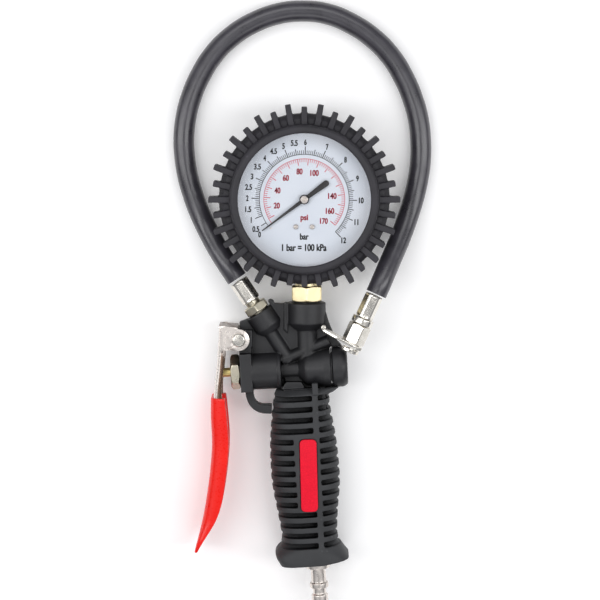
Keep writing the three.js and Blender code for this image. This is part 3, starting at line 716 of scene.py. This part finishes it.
# How far out or in each kind of mark reaches, and its width.
BAR_LONG, BAR_MIDDLE, BAR_SHORT = (30.1, 0.5), (28.9, 0.46), (27.9, 0.34)
PSI_LONG, PSI_SHORT = (19.4, 0.42), (21.2, 0.32)


def bar_angle(bar):
    """The scale is closer spaced below 1 bar."""
    if bar < 1:
        return BAR_ZERO - (BAR_ZERO - BAR_ONE) * bar**1.6
    return BAR_ONE - BAR_STEP * (bar - 1)


def arc_strip(radius, width, start, end):
    """A flat band along a circle from start to end degrees, as an outline."""
    steps = max(8, int(abs(end - start) / 2))
    angles = [math.radians(start + (end - start) * i / steps) for i in range(steps + 1)]
    outer = [((radius + width / 2) * math.cos(a), (radius + width / 2) * math.sin(a)) for a in angles]
    inner = [((radius - width / 2) * math.cos(a), (radius - width / 2) * math.sin(a)) for a in angles]
    return outer + inner[::-1]


def tick(degrees, inner, outer, width):
    outline = [(inner, -width / 2), (outer, -width / 2), (outer, width / 2), (inner, width / 2)]
    return turned_to(prism(outline, 0, INK), degrees, "Z")


def lettering(text, width, height, x, y):
    """Raised print of that size, its middle at x and y."""
    curve = bpy.data.curves.new("text", "FONT")
    curve.body = text
    curve.size = 5
    curve.extrude = INK / 2
    curve.offset = BOLD
    made = bpy.data.objects.new("text", curve)
    scene.collection.objects.link(made)
    mesh = bpy.data.meshes.new_from_object(made.evaluated_get(bpy.context.evaluated_depsgraph_get()))
    bpy.data.objects.remove(made)
    obj = bpy.data.objects.new("text", mesh)
    scene.collection.objects.link(obj)
    across = [vertex.co.x for vertex in mesh.vertices]
    up = [vertex.co.y for vertex in mesh.vertices]
    shifted(obj, -(min(across) + max(across)) / 2, -(min(up) + max(up)) / 2, INK / 2)
    stretch = (width - 2 * HEAVY) / (max(across) - min(across)), (height - HEAVY) / (max(up) - min(up))
    moved(obj, Matrix.Diagonal((*stretch, 1, 1)))
    twin = bpy.data.objects.new("text", mesh.copy())
    scene.collection.objects.link(twin)
    shifted(obj, -HEAVY, -HEAVY / 2)
    shifted(twin, HEAVY, HEAVY / 2)
    return shifted(gathered([obj, twin]), x, y)


def number(text, digit, height, x, y):
    """A number in figures of one width, with narrow ones and a narrow decimal point."""
    shares = {"1": 0.72, ".": 0.42}
    width = digit * (sum(shares.get(c, 1.0) for c in text) - 0.12)
    if text == "9":
        return shifted(turned_to(lettering("6", width, height, 0, 0), 180, "Z"), x, y)
    return lettering(text, 0.6 if text == "1" else width, height, x, y)


def gathered(parts):
    """Several meshes as one object, without cutting them into each other."""
    work = bmesh.new()
    for part in parts:
        work.from_mesh(part.data)
    for part in parts[1:]:
        bpy.data.objects.remove(part)
    work.to_mesh(parts[0].data)
    work.free()
    return parts[0]


def on_circle(radius, degrees):
    angle = math.radians(degrees)
    return radius * math.cos(angle), radius * math.sin(angle)


def make_bar_scale():
    marks = [prism(arc_strip(BAR_R, 0.34, BAR_ZERO, bar_angle(12)), 0, INK)]
    for tenth in range(5, 121):
        if tenth % 10 == 0:
            marks.append(tick(bar_angle(tenth / 10), BAR_R, *BAR_LONG))
        elif tenth % 5 == 0:
            marks.append(tick(bar_angle(tenth / 10), BAR_R, *BAR_MIDDLE))
        elif tenth > 10:
            marks.append(tick(bar_angle(tenth / 10), BAR_R, *BAR_SHORT))
    marks.append(tick(BAR_ZERO, BAR_R, *BAR_LONG))
    for value in (0, 0.5, 1, 1.5, 2, 2.5, 3, 3.5, 4, 4.5, 5, 5.5, 6, 7, 8, 9, 10, 11, 12):
        x, y = on_circle(BAR_FIGURES_R, bar_angle(value) + (1.6 if value == 0 else 0))
        marks.append(number(f"{value:g}", 1.75, 3.4, x, y))
    marks.append(lettering("bar", 5.1, 3.7, 0, -21.3))
    marks.append(lettering("1 bar = 100 kPa", 25.6, 4.1, 0, -27.6))
    return gathered(marks)


def make_psi_scale():
    last = bar_angle(170 * PSI_TO_BAR)
    marks = [prism(arc_strip(PSI_R, 0.3, BAR_ZERO, last), 0, INK)]
    for psi in range(10, 171, 2):
        inner, width = PSI_LONG if psi % 10 == 0 else PSI_SHORT
        marks.append(tick(bar_angle(psi * PSI_TO_BAR), inner, PSI_R, width))
    for value in (20, 40, 60, 80, 100, 140, 160):
        x, y = on_circle(PSI_FIGURES_R, bar_angle(value * PSI_TO_BAR))
        marks.append(number(str(value), 1.9, 3.5, x, y))
    marks.append(number("170", 1.75, 3.4, 11.2, -12.4))
    marks.append(lettering("psi", 4.4, 4.3, 0, -10.9))
    return gathered(marks)


def make_dial():
    on_dial = Matrix.Translation((0, 0, DIAL_TOP))
    disc = along_z(ring(39, 2.1, DIAL_TOP - 0.6, DIAL_TOP, 0.1, 144))
    finish_piece(disc, "dial_disc", FLAT, "dial_white", ["dial"])
    finish_piece(make_bar_scale(), "dial_bar_scale", on_dial, "pointer_black", material=DIAL_BLACK)
    finish_piece(make_psi_scale(), "dial_psi_scale", on_dial, "label_red", material=DIAL_RED)
    notch = prism([(-4.6, 39), (-3.4, 36.6), (-2.0, 36.6), (-0.9, 39)], 0, 0.8)
    finish_piece(bevelled(notch, 0.15), "dial_notch", on_dial, "dial_white")


make_dial()

# ------------ pointer, screws, bezel, lens

HUB_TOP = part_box("pointer")[1].z / MM
TAIL_LENGTH = 15.4
TAIL_END = 1.75  # radius of the tail's round end
STOP_PIN = (-19.1, -16.5)


def make_pointer():
    """A black needle with a round-ended tail, standing on zero, and a turned cap on its hub."""
    tail = [on_circle(TAIL_END, 90 + 15 * step) for step in range(13)]
    upper = [(29.9, 0.28), (2, 1.05), (-6, 1.3), (-13.6, 1.66)]
    outline = [*upper, *[(x - TAIL_LENGTH, y) for x, y in tail], *[(x, -y) for x, y in upper[::-1]]]
    needle = bevelled(prism(outline, 31, 31.5), 0.08)
    shaft_hole = along_z(rod(1.3, 30, 32.3))
    hub_black = along_z(lathe([(0, 31), (2.75, 31), (2.75, 31.9), (2.4, 32.2), (0, 32.2)], 0.12))
    needle = joined([needle, hub_black], [shaft_hole])
    turned_to(needle, BAR_ZERO, "Z")
    finish_piece(needle, "pointer_needle", FLAT, "pointer_black", ["pointer"], body="pointer")
    profile = [(0, 32.3), (2.2, 32.3), (2.2, 32.8), (1.9, HUB_TOP), (0.7, HUB_TOP), (0.55, 32.6), (0, 32.6)]
    cap = along_z(lathe(profile, 0.1))
    finish_piece(cap, "pointer_cap", FLAT, "steel", body="pointer")
    stop = shifted(along_z(lathe([(0, 29.8), (0.45, 29.8), (0.45, 30.6), (0, 30.6)], 0.1, 32)), *STOP_PIN)
    finish_piece(stop, "pointer_stop_pin", FLAT, "steel")


def make_dial_screws():
    for name in ("dial_screw_1", "dial_screw_2"):
        low, high = (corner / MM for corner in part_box(name))
        x, y = (low.x + high.x) / 2, (low.y + high.y) / 2
        profile = [(0, 23), (0.8, 23), (0.8, 30.0), (1.45, 30.0), (1.45, 30.5), (1.0, 31), (0, 31)]
        screw = along_z(lathe(profile, 0.15, 48))
        slot = turned_to(block((-2, 2), (-0.2, 0.2), (30.6, 32)), 24, "Z")
        screw = shifted(joined([screw], [slot]), x, y)
        finish_piece(screw, name.replace("screw", "slotted_screw"), FLAT, "steel", [name])


def make_bezel():
    profile = [(39.5, 32.9), (40.4, 32.9), (40.4, 36.3), (38.8, 36.3), (38.8, 35.8), (39.5, 35.8)]
    bezel = along_z(lathe(profile, 0.12, 144))
    finish_piece(bezel, "bezel_ring", FLAT, "steel", ["bezel"])
    lens = along_z(lathe([(0, 33.9), (39.2, 33.9), (39.2, 35.5), (0, 35.5)], 0.1, 144))
    finish_piece(lens, "lens_disc", FLAT, "lens_glass", ["lens"])


make_pointer()
make_dial_screws()
make_bezel()

# ------------ gauge stem


def make_stem():
    parts = [
        rod(4.9, -69, -59.6),
        hexagon(17.2, -59.7, -50.6, 1.0, turn=30, crown=0.16),
        rod(6.7, -50.7, -35.5),
        block((-6, 4.5), (-36, -24), (-6, 5)),
    ]
    stem = joined(parts, [rod(1.4, -70, -28)])
    finish_piece(stem, "brass_stem", STEM, "brass", ["gauge_stem"])


make_stem()

# ------------ valve body

WEB = 2.8
LUG = 5.7
WEB_OUTLINE = [
    (-37.4, -75.6), (-37.6, -71.8), (-33.4, -70.3), (-21.6, -62.2), (-21.2, -59.4), (-19.6, -58.5),
    (-18, -59.2), (-17.2, -60.9), (-11, -61.2), (12.6, -66), (14.2, -71.6), (16.6, -77.6), (19.4, -83),
    (21.6, -85.2), (21.6, -85.9), (14.6, -86.3), (14.6, -106), (8, -109), (-30, -109), (-33, -86),
    (-33.5, -79),
]
CHAMBER_PROFILE = [
    (0, -33.1), (8, -33.1), (8, -26.4), (10.9, -26.4), (10.9, -11.6), (11.4, -11.2), (11.4, -9.6),
    (5.5, -9.4), (5.5, 0.5), (9.4, 4.4), (10, 5.6), (11.8, 15.5), (11.8, 19.3), (0, 19.3),
]


# A raised strip of the web beside the gauge boss, and the thick part below the chamber's neck.
PARTING_RIB = [(-11.6, -60.6), (-9.6, -60.6), (-9.6, -78), (-11.6, -76)]
COLLAR_PATCH = [(-13.4, -110.6), (-10.4, -106.4), (-1.6, -106.4), (0.8, -110.6)]


def passage(start, end, radius, depth):
    """A cast passage between two points of the mid-plane, round or deeper than wide."""
    start, end = Vector((*start, 0)), Vector((*end, 0))
    made = moved(rod(radius, 0, (end - start).length, 40), Matrix.Diagonal((1, 1, depth / radius, 1)))
    return moved(made, upright(start, end - start))


def bezier(a, b, c, d, steps=14):
    points = [Vector(p) for p in (a, b, c, d)]
    made = []
    for step in range(steps + 1):
        t = step / steps
        weights = ((1 - t) ** 3, 3 * t * (1 - t) ** 2, 3 * t**2 * (1 - t), t**3)
        made.append(sum((w * p for w, p in zip(weights, points)), Vector((0, 0))))
    return made


def hook():
    """The hook below the chamber's left end, which curls round the finger hole."""
    outer = bezier((-34.2, -113), (-33.6, -121), (-28.5, -125.5), (-22, -125.5))
    inner = bezier((-23.4, -120.3), (-27.4, -120.3), (-29.4, -118), (-29.5, -113.6))
    outline = [(-34.4, -108), *outer, (-18.9, -125.5), (-18.9, -120.3), *inner, (-29.5, -108)]
    return prism(outline, -4, 4)


def make_valve_body():
    to_mid = MID_PLANE.inverted()
    chamber, port, handle = to_mid @ CHAMBER, to_mid @ PORT, to_mid @ HANDLE
    parts = [
        prism(WEB_OUTLINE, -WEB, WEB),
        moved(along_x(lathe(CHAMBER_PROFILE, 0.3)), chamber),
        moved(block((-33.1, -26.2), (-10.9, 11.4), (-10.6, 10.6)), chamber),
        moved(block((-33.1, -26.2), (11, 21), (-6.4, 6.4)), chamber),
        shifted(along_z(rod(5, -LUG, LUG)), PIVOT.x, PIVOT.y),
        prism([(-37.8, -86.3), (-30, -86.3), (-30, -76.3), (-37.8, -76.3)], -LUG, LUG),
        moved(lathe([(0, 0), (8.6, 0), (8.6, -9.6), (6, -13.4), (0, -13.4)], 0.3), port),
        shifted(lathe([(0, -60.5), (11.2, -60.5), (11.2, -72.4), (6.8, -76.2), (0, -76.2)], 0.4), 1.3),
        passage((1.6, -75), (2.2, -98), 6.4, 6.2),
        passage((-19.8, -77), (-8.4, -95), 4.6, 5.8),
        passage((-13.2, -94.2), (14.4, -82.6), 4, 6),
        prism(PARTING_RIB, -WEB - 1, WEB + 1),
        prism(COLLAR_PATCH, -7, 7),
        moved(block((-13, 11), (-19.6, -6), (-8, 8)), handle),
        moved(block((-12, 10), (-8, 3), (-WEB - 1, WEB + 1)), handle),
        hook(),
    ]
    bores = [
        moved(along_x(rod(6.2, -34, -26)), chamber),
        moved(along_x(rod(5.3, -26.1, -10.9)), chamber),
        moved(along_x(rod(3, -12, 5)), chamber),
        moved(along_x(rod(8.4, 4.9, 20)), chamber),
        moved(rod(4.6, -9, 1), port),
        moved(rod(8.2, 0.3, 7), port),
        moved(rod(2, -34, -8), port),
        shifted(rod(5.2, -70, -60), STEM_X),
        shifted(rod(1.8, -97, -69), STEM_X),
        moved(rod(7.1, -20, -7.7), handle),
        moved(rod(2.6, -8, 3), handle),
        shifted(along_z(rod(2.25, -12, 12)), PIVOT.x, PIVOT.y),
    ]
    body = moulded(joined(parts, bores), 0.36, 3)
    finish_piece(body, "valve_casting", MID_PLANE, "black_casting", ["valve_body"])


def make_end_cap():
    skin = [(0, 14.5), (8.1, 14.5), (8.1, 20.3), (11.9, 20.3), (11.75, 26.8), (10.2, 29.2), (0, 29.2)]
    cap = along_x(joined([lathe(skin, 1.2)], [rod(5.5, 14, 26)]))
    finish_piece(cap, "valve_end_cap", CHAMBER, "black_casting", ["end_cap"])


make_valve_body()
make_end_cap()

# ------------ valve nut and plunger


def make_valve_front():
    nut = joined([hexagon(18.1, -38.7, -33.4, 1.0), rod(5.9, -33.5, -26.6)], [rod(3.0, -40, -25)])
    finish_piece(along_x(nut), "chamber_nut", CHAMBER, "nickel", ["valve_nut"], material=DULL_NICKEL)
    profile = [
        (0, -45.2), (1.9, -45.2), (2.65, -44.5), (2.65, -20.4), (4.9, -20.4), (4.9, -18.6), (3.3, -18.6),
        (3.3, -16.4), (4.9, -16.4), (4.9, -15.6), (1.7, -15.6), (1.7, 9.4), (0, 9.4),
    ]
    plunger = along_x(lathe(profile, 0.2))
    finish_piece(plunger, "brass_plunger", CHAMBER, "brass", ["plunger"], body="plunger", material=DULL_BRASS)


make_valve_front()

# ------------ trigger

SHEET = 1.5
TRIGGER_HALF = 10.5
WEB_LINE = [
    (-49.2, -73.2), (-49.7, -84), (-50.8, -98), (-52.3, -112), (-52.6, -126), (-52.0, -142), (-52.9, -156),
    (-54.8, -171), (-57.2, -185), (-60.2, -198), (-62.6, -207),
]
STATIONS = 80
BEND = 3.2  # outer radius of the channel's two bends
SLEEVE_BEND = 6.2


def flange_reach(t):
    """How far the flanges reach to the right of the web, from the ears at 0 to the tip at 1."""
    return (4.2 + 2.2 * smoothstep(t, 0.25, 0.45)) * (1 - 0.76 * smoothstep(t, 0.7, 1))


def channel_section(left, right, half, thick, bend):
    """Section of a channel open to the right as [x, z] points, the outside first and then the inside."""
    bend = min(bend, 0.8 * (right - left))
    thick = min(thick, 0.7 * (right - left))
    outer, inner = [(right, half)], []
    for step in range(7):
        angle = math.radians(90 + 15 * step)
        outer.append((left + bend + bend * math.cos(angle), half - bend + bend * math.sin(angle)))
    small = max(0.1, bend - thick)
    for step in range(7):
        angle = math.radians(90 + 15 * step)
        x = left + thick + small + small * math.cos(angle)
        inner.append((x, half - thick - small + small * math.sin(angle)))
    inner.insert(0, (max(right, left + thick + small), half - thick))
    outer += [(x, -z) for x, z in reversed(outer)]
    inner += [(x, -z) for x, z in reversed(inner)]
    return outer + inner[::-1]


def channel(start, end, left, reach, half, thick, bend):
    """A bent channel along the trigger's line, between two shares of its length."""
    line = spline(WEB_LINE, STATIONS)
    sections = []
    for index, (x, y) in enumerate(line):
        t = index / STATIONS
        if start <= t <= end:
            section = channel_section(left(t), reach(t), half(t), thick, bend)
            sections.append([(x + dx, y, z) for dx, z in section])
    return loft(sections)


def make_trigger():
    sheet = channel(0, 0.79, lambda t: 0, flange_reach, lambda t: TRIGGER_HALF, SHEET, BEND)
    rim = [on_circle(6.2, -90 + 7.5 * step) for step in range(25)]
    ear = [(-47.9, -73.9), (-48.6, -87.5), *[(x + PIVOT.x, y + PIVOT.y) for x, y in rim]]
    top = [(-49.2, -74.8), (-38.4, -75.7), (-38.4, -74.2), (-49.2, -73.2)]
    parts = [
        sheet,
        prism(ear, TRIGGER_HALF - SHEET, TRIGGER_HALF),
        prism(ear, -TRIGGER_HALF, SHEET - TRIGGER_HALF),
        prism(top, -TRIGGER_HALF, TRIGGER_HALF),
    ]
    hole = shifted(along_z(rod(2.3, -20, 20)), PIVOT.x, PIVOT.y)
    trigger = bevelled(joined(parts, [hole]), 0.25, 2, 40)
    node = ["trigger"]
    finish_piece(trigger, "trigger_channel", MID_PLANE, "steel", node, body="trigger", material=TRIGGER_STEEL)


def make_sleeve():
    """Vinyl dipped over the lower part of the channel, thicker than it all round."""
    coat = 1.75

    def half(t):
        return TRIGGER_HALF + coat - 2.4 * smoothstep(t, 0.88, 1) ** 2

    def reach(t):
        return (flange_reach(t) + coat) * (1 - smoothstep(t, 0.8, 1.02))

    sleeve = channel(0.315, 1, lambda t: -coat, reach, half, SHEET + 2 * coat - 0.3, SLEEVE_BEND)
    sleeve = moulded(sleeve, 0.5, 4)
    finish_piece(sleeve, "trigger_grip_sleeve", MID_PLANE, "red_vinyl", ["trigger_sleeve"], body="trigger")


def make_pin():
    profile = [
        (0, -12.6), (1.6, -12.6), (1.6, -11.4), (2.05, -11.4), (2.05, 10.8), (3.9, 10.8), (3.9, 11.7),
        (3.2, 12.4), (0, 12.4),
    ]
    pin = shifted(along_z(lathe(profile, 0.35)), PIVOT.x, PIVOT.y)
    finish_piece(pin, "trigger_pin", MID_PLANE, "nickel", ["pivot_pin"])
    clip = joined([along_z(ring(3.6, 1.75, -12.3, -11.5, 0.1))], [block((0, 6), (-0.9, 0.9), (-13, -11))])
    clip = shifted(clip, PIVOT.x, PIVOT.y)
    finish_piece(clip, "trigger_pin_clip", MID_PLANE, "steel", ["pin_clip"])


make_trigger()
make_sleeve()
make_pin()

# ------------ grip and label

# The grip's left and right edges and its depth, down from the top.
GRIP_ROWS = [
    (-6.3, -17.4, 21, 11.5), (-8.4, -18.4, 17.6, 14), (-11, -19.2, 14.2, 15.4), (-16, -20.2, 13.3, 16),
    (-34, -22.8, 15.4, 16.8), (-50, -23.7, 16.4, 16.9), (-64, -23.4, 16.2, 16.8), (-80, -21.4, 14, 16.1),
    (-93, -20, 12.9, 15.4), (-97.5, -21.2, 13.8, 15.7), (-101.8, -24.2, 15.8, 16.7),
    (-105, -23.9, 17.6, 17), (-108, -22.3, 19.3, 17), (-113, -20.2, 19.8, 16),
]
FOOT_CUT = [(-30, -120), (-30, -109.6), (3, -109.6), (24, -106.2), (24, -120)]
TONGUE = ((3.6, 6.9), (-9, -2.2), (11, 15.2))  # the spine runs on a little over the body
GROOVES = 15
GROOVE_FIRST, GROOVE_PITCH, GROOVE_WIDTH = -11.0, 6.19, 3.1
CORE_INSET = {"left": 0.6, "right": 1.0, "depth": 4.2}  # the grooves run out towards the sides
SPINE = [(3.4, 0), (6.6, 0), (4.2, -112), (1.0, -112)]
LAND = ((-9.1, 5.3), (-77.4, -32.2))
CHAMBER_IN_HANDLE = HANDLE.inverted() @ CHAMBER


def grip_skin(left_inset=0.0, right_inset=0.0, depth_inset=0.0, around=64):
    sections = []
    for y, left, right, depth in spline(GRIP_ROWS, 72):
        left, right, depth = left + left_inset, right - right_inset, depth - depth_inset
        blunt = 0.82 - 0.4 * smoothstep(-y, 97, 107)
        section = []
        for step in range(around):
            angle = 2 * math.pi * step / around
            c, s = math.cos(angle), math.sin(angle)
            blunt_c = math.copysign(abs(c) ** blunt, c)
            blunt_s = math.copysign(abs(s) ** blunt, s)
            section.append(((left + right) / 2 + (right - left) / 2 * blunt_c, y, depth * blunt_s))
        sections.append(section)
    return loft(sections)


def groove_slice(index):
    """The slice of the grip that one groove lies in."""
    y = GROOVE_FIRST - index * GROOVE_PITCH
    half = GROOVE_WIDTH / 2
    return block((-32, 28), (y - half, y + half), (-22, 22))


def make_grip():
    slices = gathered([groove_slice(index) for index in range(GROOVES)])
    keep = [
        grip_skin(CORE_INSET["left"], CORE_INSET["right"], CORE_INSET["depth"]),
        prism(SPINE, -22, 22),
        block(*LAND, (0, 22)),
    ]
    slices = boolean(slices, keep, "DIFFERENCE")
    hollows = [
        moved(along_x(rod(11.6, -28, -9)), CHAMBER_IN_HANDLE),
        moved(along_x(rod(12.3, -9.1, 31)), CHAMBER_IN_HANDLE),
        block((-13.3, 11.3), (-20, 0), (-8.3, 8.3)),
        rod(7.1, -106, 0),
        rod(7.6, -113, -105.9),
        moved(badge_plate(0.3, 15.6, 22), LABEL_PLACE),
        prism(FOOT_CUT, -22, 22),
    ]
    grip = joined([grip_skin(), block(*TONGUE)], [slices, *hollows])
    grip = moulded(grip, 0.42, 3)
    finish_piece(grip, "ribbed_grip", HANDLE, "grip_rubber", ["grip"])


LABEL_HALF = (4.85, 21.2)
LABEL_PLACE = Matrix.Translation((-1.6, -55.6, 0)) @ Matrix.Rotation(math.radians(-2.4), 4, "Z")


def badge_plate(gap, low, high, edge=0.0):
    x, y = LABEL_HALF[0] + gap, LABEL_HALF[1] + gap
    outline = rounded([(-x, -y), (x, -y), (x, y), (-x, y)], 3.0, closed=True, steps=8)
    plate = prism(outline, low, high)
    return bevelled(plate, edge, 3, 50) if edge else plate


def make_label():
    badge = moved(badge_plate(0, 15.9, 17.2, 0.3), LABEL_PLACE)
    finish_piece(badge, "red_label", HANDLE, "label_red", ["label_badge"])


make_grip()
make_label()

# ------------ air inlet

PLUG_PROFILE = [
    (3.9, -98), (3.9, -108.3), (7.2, -108.3), (7.2, -114), (4.4, -114.6), (4.4, -122.8), (5.5, -123),
    (5.5, -126), (3.9, -126.3), (3.9, -129.6), (4.9, -130.3), (4.9, -134), (3.6, -138.6), (2.7, -138.6),
    (2.7, -98),
]


def make_plug():
    finish_piece(lathe(PLUG_PROFILE, 0.4), "air_plug", HANDLE, "steel", ["inlet_plug"])


make_plug()

# ------------ hose ends


def crimped(outer, low, high, bore, facets=6, turn=0.0):
    """A ferrule pressed into flats, with round ends left unpressed."""
    flats = [math.radians(360 / facets * side + 90 + turn) for side in range(facets)]
    pressed = 0.93 * outer

    def radius(angle, y):
        inside = smoothstep(y, low + 0.4, low + 1.6) * smoothstep(-y, -high + 0.3, -high + 1.4)
        reach = soft_min([pressed / math.cos(angle - f) for f in flats if math.cos(angle - f) > 0.4], 0.05)
        edge = 0.3 * (1 - smoothstep(min(y - low, high - y), 0, 0.3))
        return outer - edge - inside * max(0.0, outer - reach)

    return radial(radius, spaced(low, high, 0.25), bore, 180)


def make_left_end():
    nut = hexagon(13.4, 0.8, 5.6, 0.8, turn=30)
    parts = [rod(4.3, -8, 0.9), nut, rod(4.3, 5.5, 7.6), rod(2.6, 7.5, 20.4)]
    adaptor = joined(parts, [rod(1.6, -9, 21)])
    finish_piece(adaptor, "hose_nut", PORT, "nickel", ["hose_adaptor"], material=DULL_NICKEL)
    ferrule = crimped(5.6, 8, 21.6, 2.9)
    finish_piece(ferrule, "crimped_ferrule_left", PORT, "nickel", ["ferrule_left"])


def make_right_end():
    ferrule = crimped(5.2, -14.4, -0.2, 2.9)
    finish_piece(ferrule, "crimped_ferrule_right", CHUCK, "nickel", ["ferrule_right"])
    collar = lathe([(0, -18.4), (6.4, -18.4), (6.4, -14.8), (0, -14.8)], 0.5)
    tail = joined([collar, rod(2.6, -15, -1), rod(3.4, -23, -18)], [rod(1.5, -24, 0)])
    finish_piece(tail, "chuck_collar", CHUCK, "nickel", ["chuck_tail"])
    return ferrule, tail


BARREL_TO = -30.6
NOSE = (-36.0, -34.2)
PLATE_REST = 4.0
plate_hinge = CHUCK.inverted() @ at(JOINTS["chuck_plate_tilt"]["pos_m"])


def make_chuck():
    parts = [
        hexagon(11.8, BARREL_TO, -18.8, 0.8, turn=14),
        lathe([(0, NOSE[0]), (5.8, NOSE[0]), (5.8, -30), (0, -30)], 0.5),
    ]
    cuts = [
        rod(3.7, -24, -18),
        rod(4.1, -40, -23.9),
        block((-8, 3.7), (NOSE[1], BARREL_TO - 0.2), (-8, 8)),
        block((3.6, 4.6), (-33.6, BARREL_TO - 0.4), (-8, 8)),
    ]
    chuck = joined(parts, cuts)
    finish_piece(chuck, "chuck_barrel", CHUCK, "nickel", ["chuck_body"])
    return chuck


def make_thumb_plate():
    """The plate that bites on the valve's thread, with its thumb end rolled over."""
    outline = [(-24, -3), (-24, 3), (-15, 6), (-2.4, 6), (1.7, 4), (1.7, -4), (-2.4, -6), (-15, -6)]
    blank = prism(rounded(outline, 1.2, closed=True), -0.9, 0.9)
    hole = shifted(along_z(rod(4.4, -2, 2)), -4.1)
    blank = bevelled(joined([blank], [hole]), 0.3, 3, 50)
    roll = shifted(lathe([(0, -3), (1.4, -3), (1.4, 3), (0, 3)], 0.4, 48), -23.8, 0, 1.0)
    plate = joined([blank, roll])
    turned_to(turned_to(plate, -90, "X"), -PLATE_REST, "Z")
    hinge = CHUCK @ Matrix.Translation((plate_hinge.x, plate_hinge.y, 0))
    finish_piece(plate, "thumb_plate", hinge, "nickel", ["chuck_plate"], body="chuck_plate")
    return plate


make_left_end()
chuck_pieces = [*make_right_end(), make_chuck(), make_thumb_plate()]

# ------------ CAD nodes that stay


def dress_cad_nodes():
    """Every CAD node takes the procedural material of its slot, with its sharp edges kept."""
    slots = {entry["node"]: entry["material_slot"] for entry in frame["record"]["subparts"]}
    for name, node in NODES.items():
        node.data.materials.clear()
        node.data.materials.append(SLOT_MATERIALS[slots[name]])
        node.data.shade_smooth()
        node.data.set_sharp_from_angle(angle=SHARP)


dress_cad_nodes()

# ------------ floor and light


def make_floor():
    size = 1.6
    floor = solid([(-size, -size, 0), (size, -size, 0), (size, size, 0), (-size, size, 0)], [(0, 1, 2, 3)])
    floor.name = "floor"
    floor.data.materials.append(floor_paper("floor paper"))


def area_light(name, place, target, size, power, colour=(1, 1, 1)):
    lamp = bpy.data.lights.new(name, "AREA")
    lamp.shape = "RECTANGLE"
    lamp.size, lamp.size_y = size
    lamp.energy = power
    lamp.color = colour
    obj = bpy.data.objects.new(name, lamp)
    scene.collection.objects.link(obj)
    obj.location = place
    obj.rotation_euler = (Vector(target) - Vector(place)).to_track_quat("-Z", "Y").to_euler()


def make_light():
    middle = (0, -0.06, 0)
    area_light("key", (-0.1, 0.75, 1.1), middle, (1.2, 0.5), 3.8)
    area_light("left", (-0.75, 0.0, 1.0), middle, (0.35, 1.4), 6.2)
    area_light("right", (0.8, 0.0, 1.0), middle, (0.35, 1.4), 6.3)
    area_light("foot", (0.1, -0.9, 0.9), middle, (1.0, 0.4), 1.9)
    world = bpy.data.worlds.new("studio")
    scene.world = world
    world.use_nodes = True
    nodes, links = world.node_tree.nodes, world.node_tree.links
    way = nodes.new("ShaderNodeTexCoord")
    height = nodes.new("ShaderNodeSeparateXYZ")
    links.new(way.outputs["Generated"], height.inputs["Vector"])
    strength = nodes.new("ShaderNodeMath")
    strength.operation = "MULTIPLY"
    # The room is pale, dim overhead where the photographer is, and dark along the skirting.
    for index, values in enumerate(((0.86, 0.98, 0.46, 0.27), (0.15, 0.45, 0.06, 1.0))):
        shade = nodes.new("ShaderNodeMapRange")
        links.new(height.outputs["Z"], shade.inputs["Value"])
        for socket, value in zip(("From Min", "From Max", "To Min", "To Max"), values):
            shade.inputs[socket].default_value = value
        links.new(shade.outputs["Result"], strength.inputs[index])
    background = nodes["Background"]
    background.inputs["Color"].default_value = (0.94, 0.955, 1.0, 1)
    links.new(strength.outputs[0], background.inputs["Strength"])


make_floor()
make_light()
scene.view_settings.view_transform = "Standard"
scene.view_settings.look = "None"
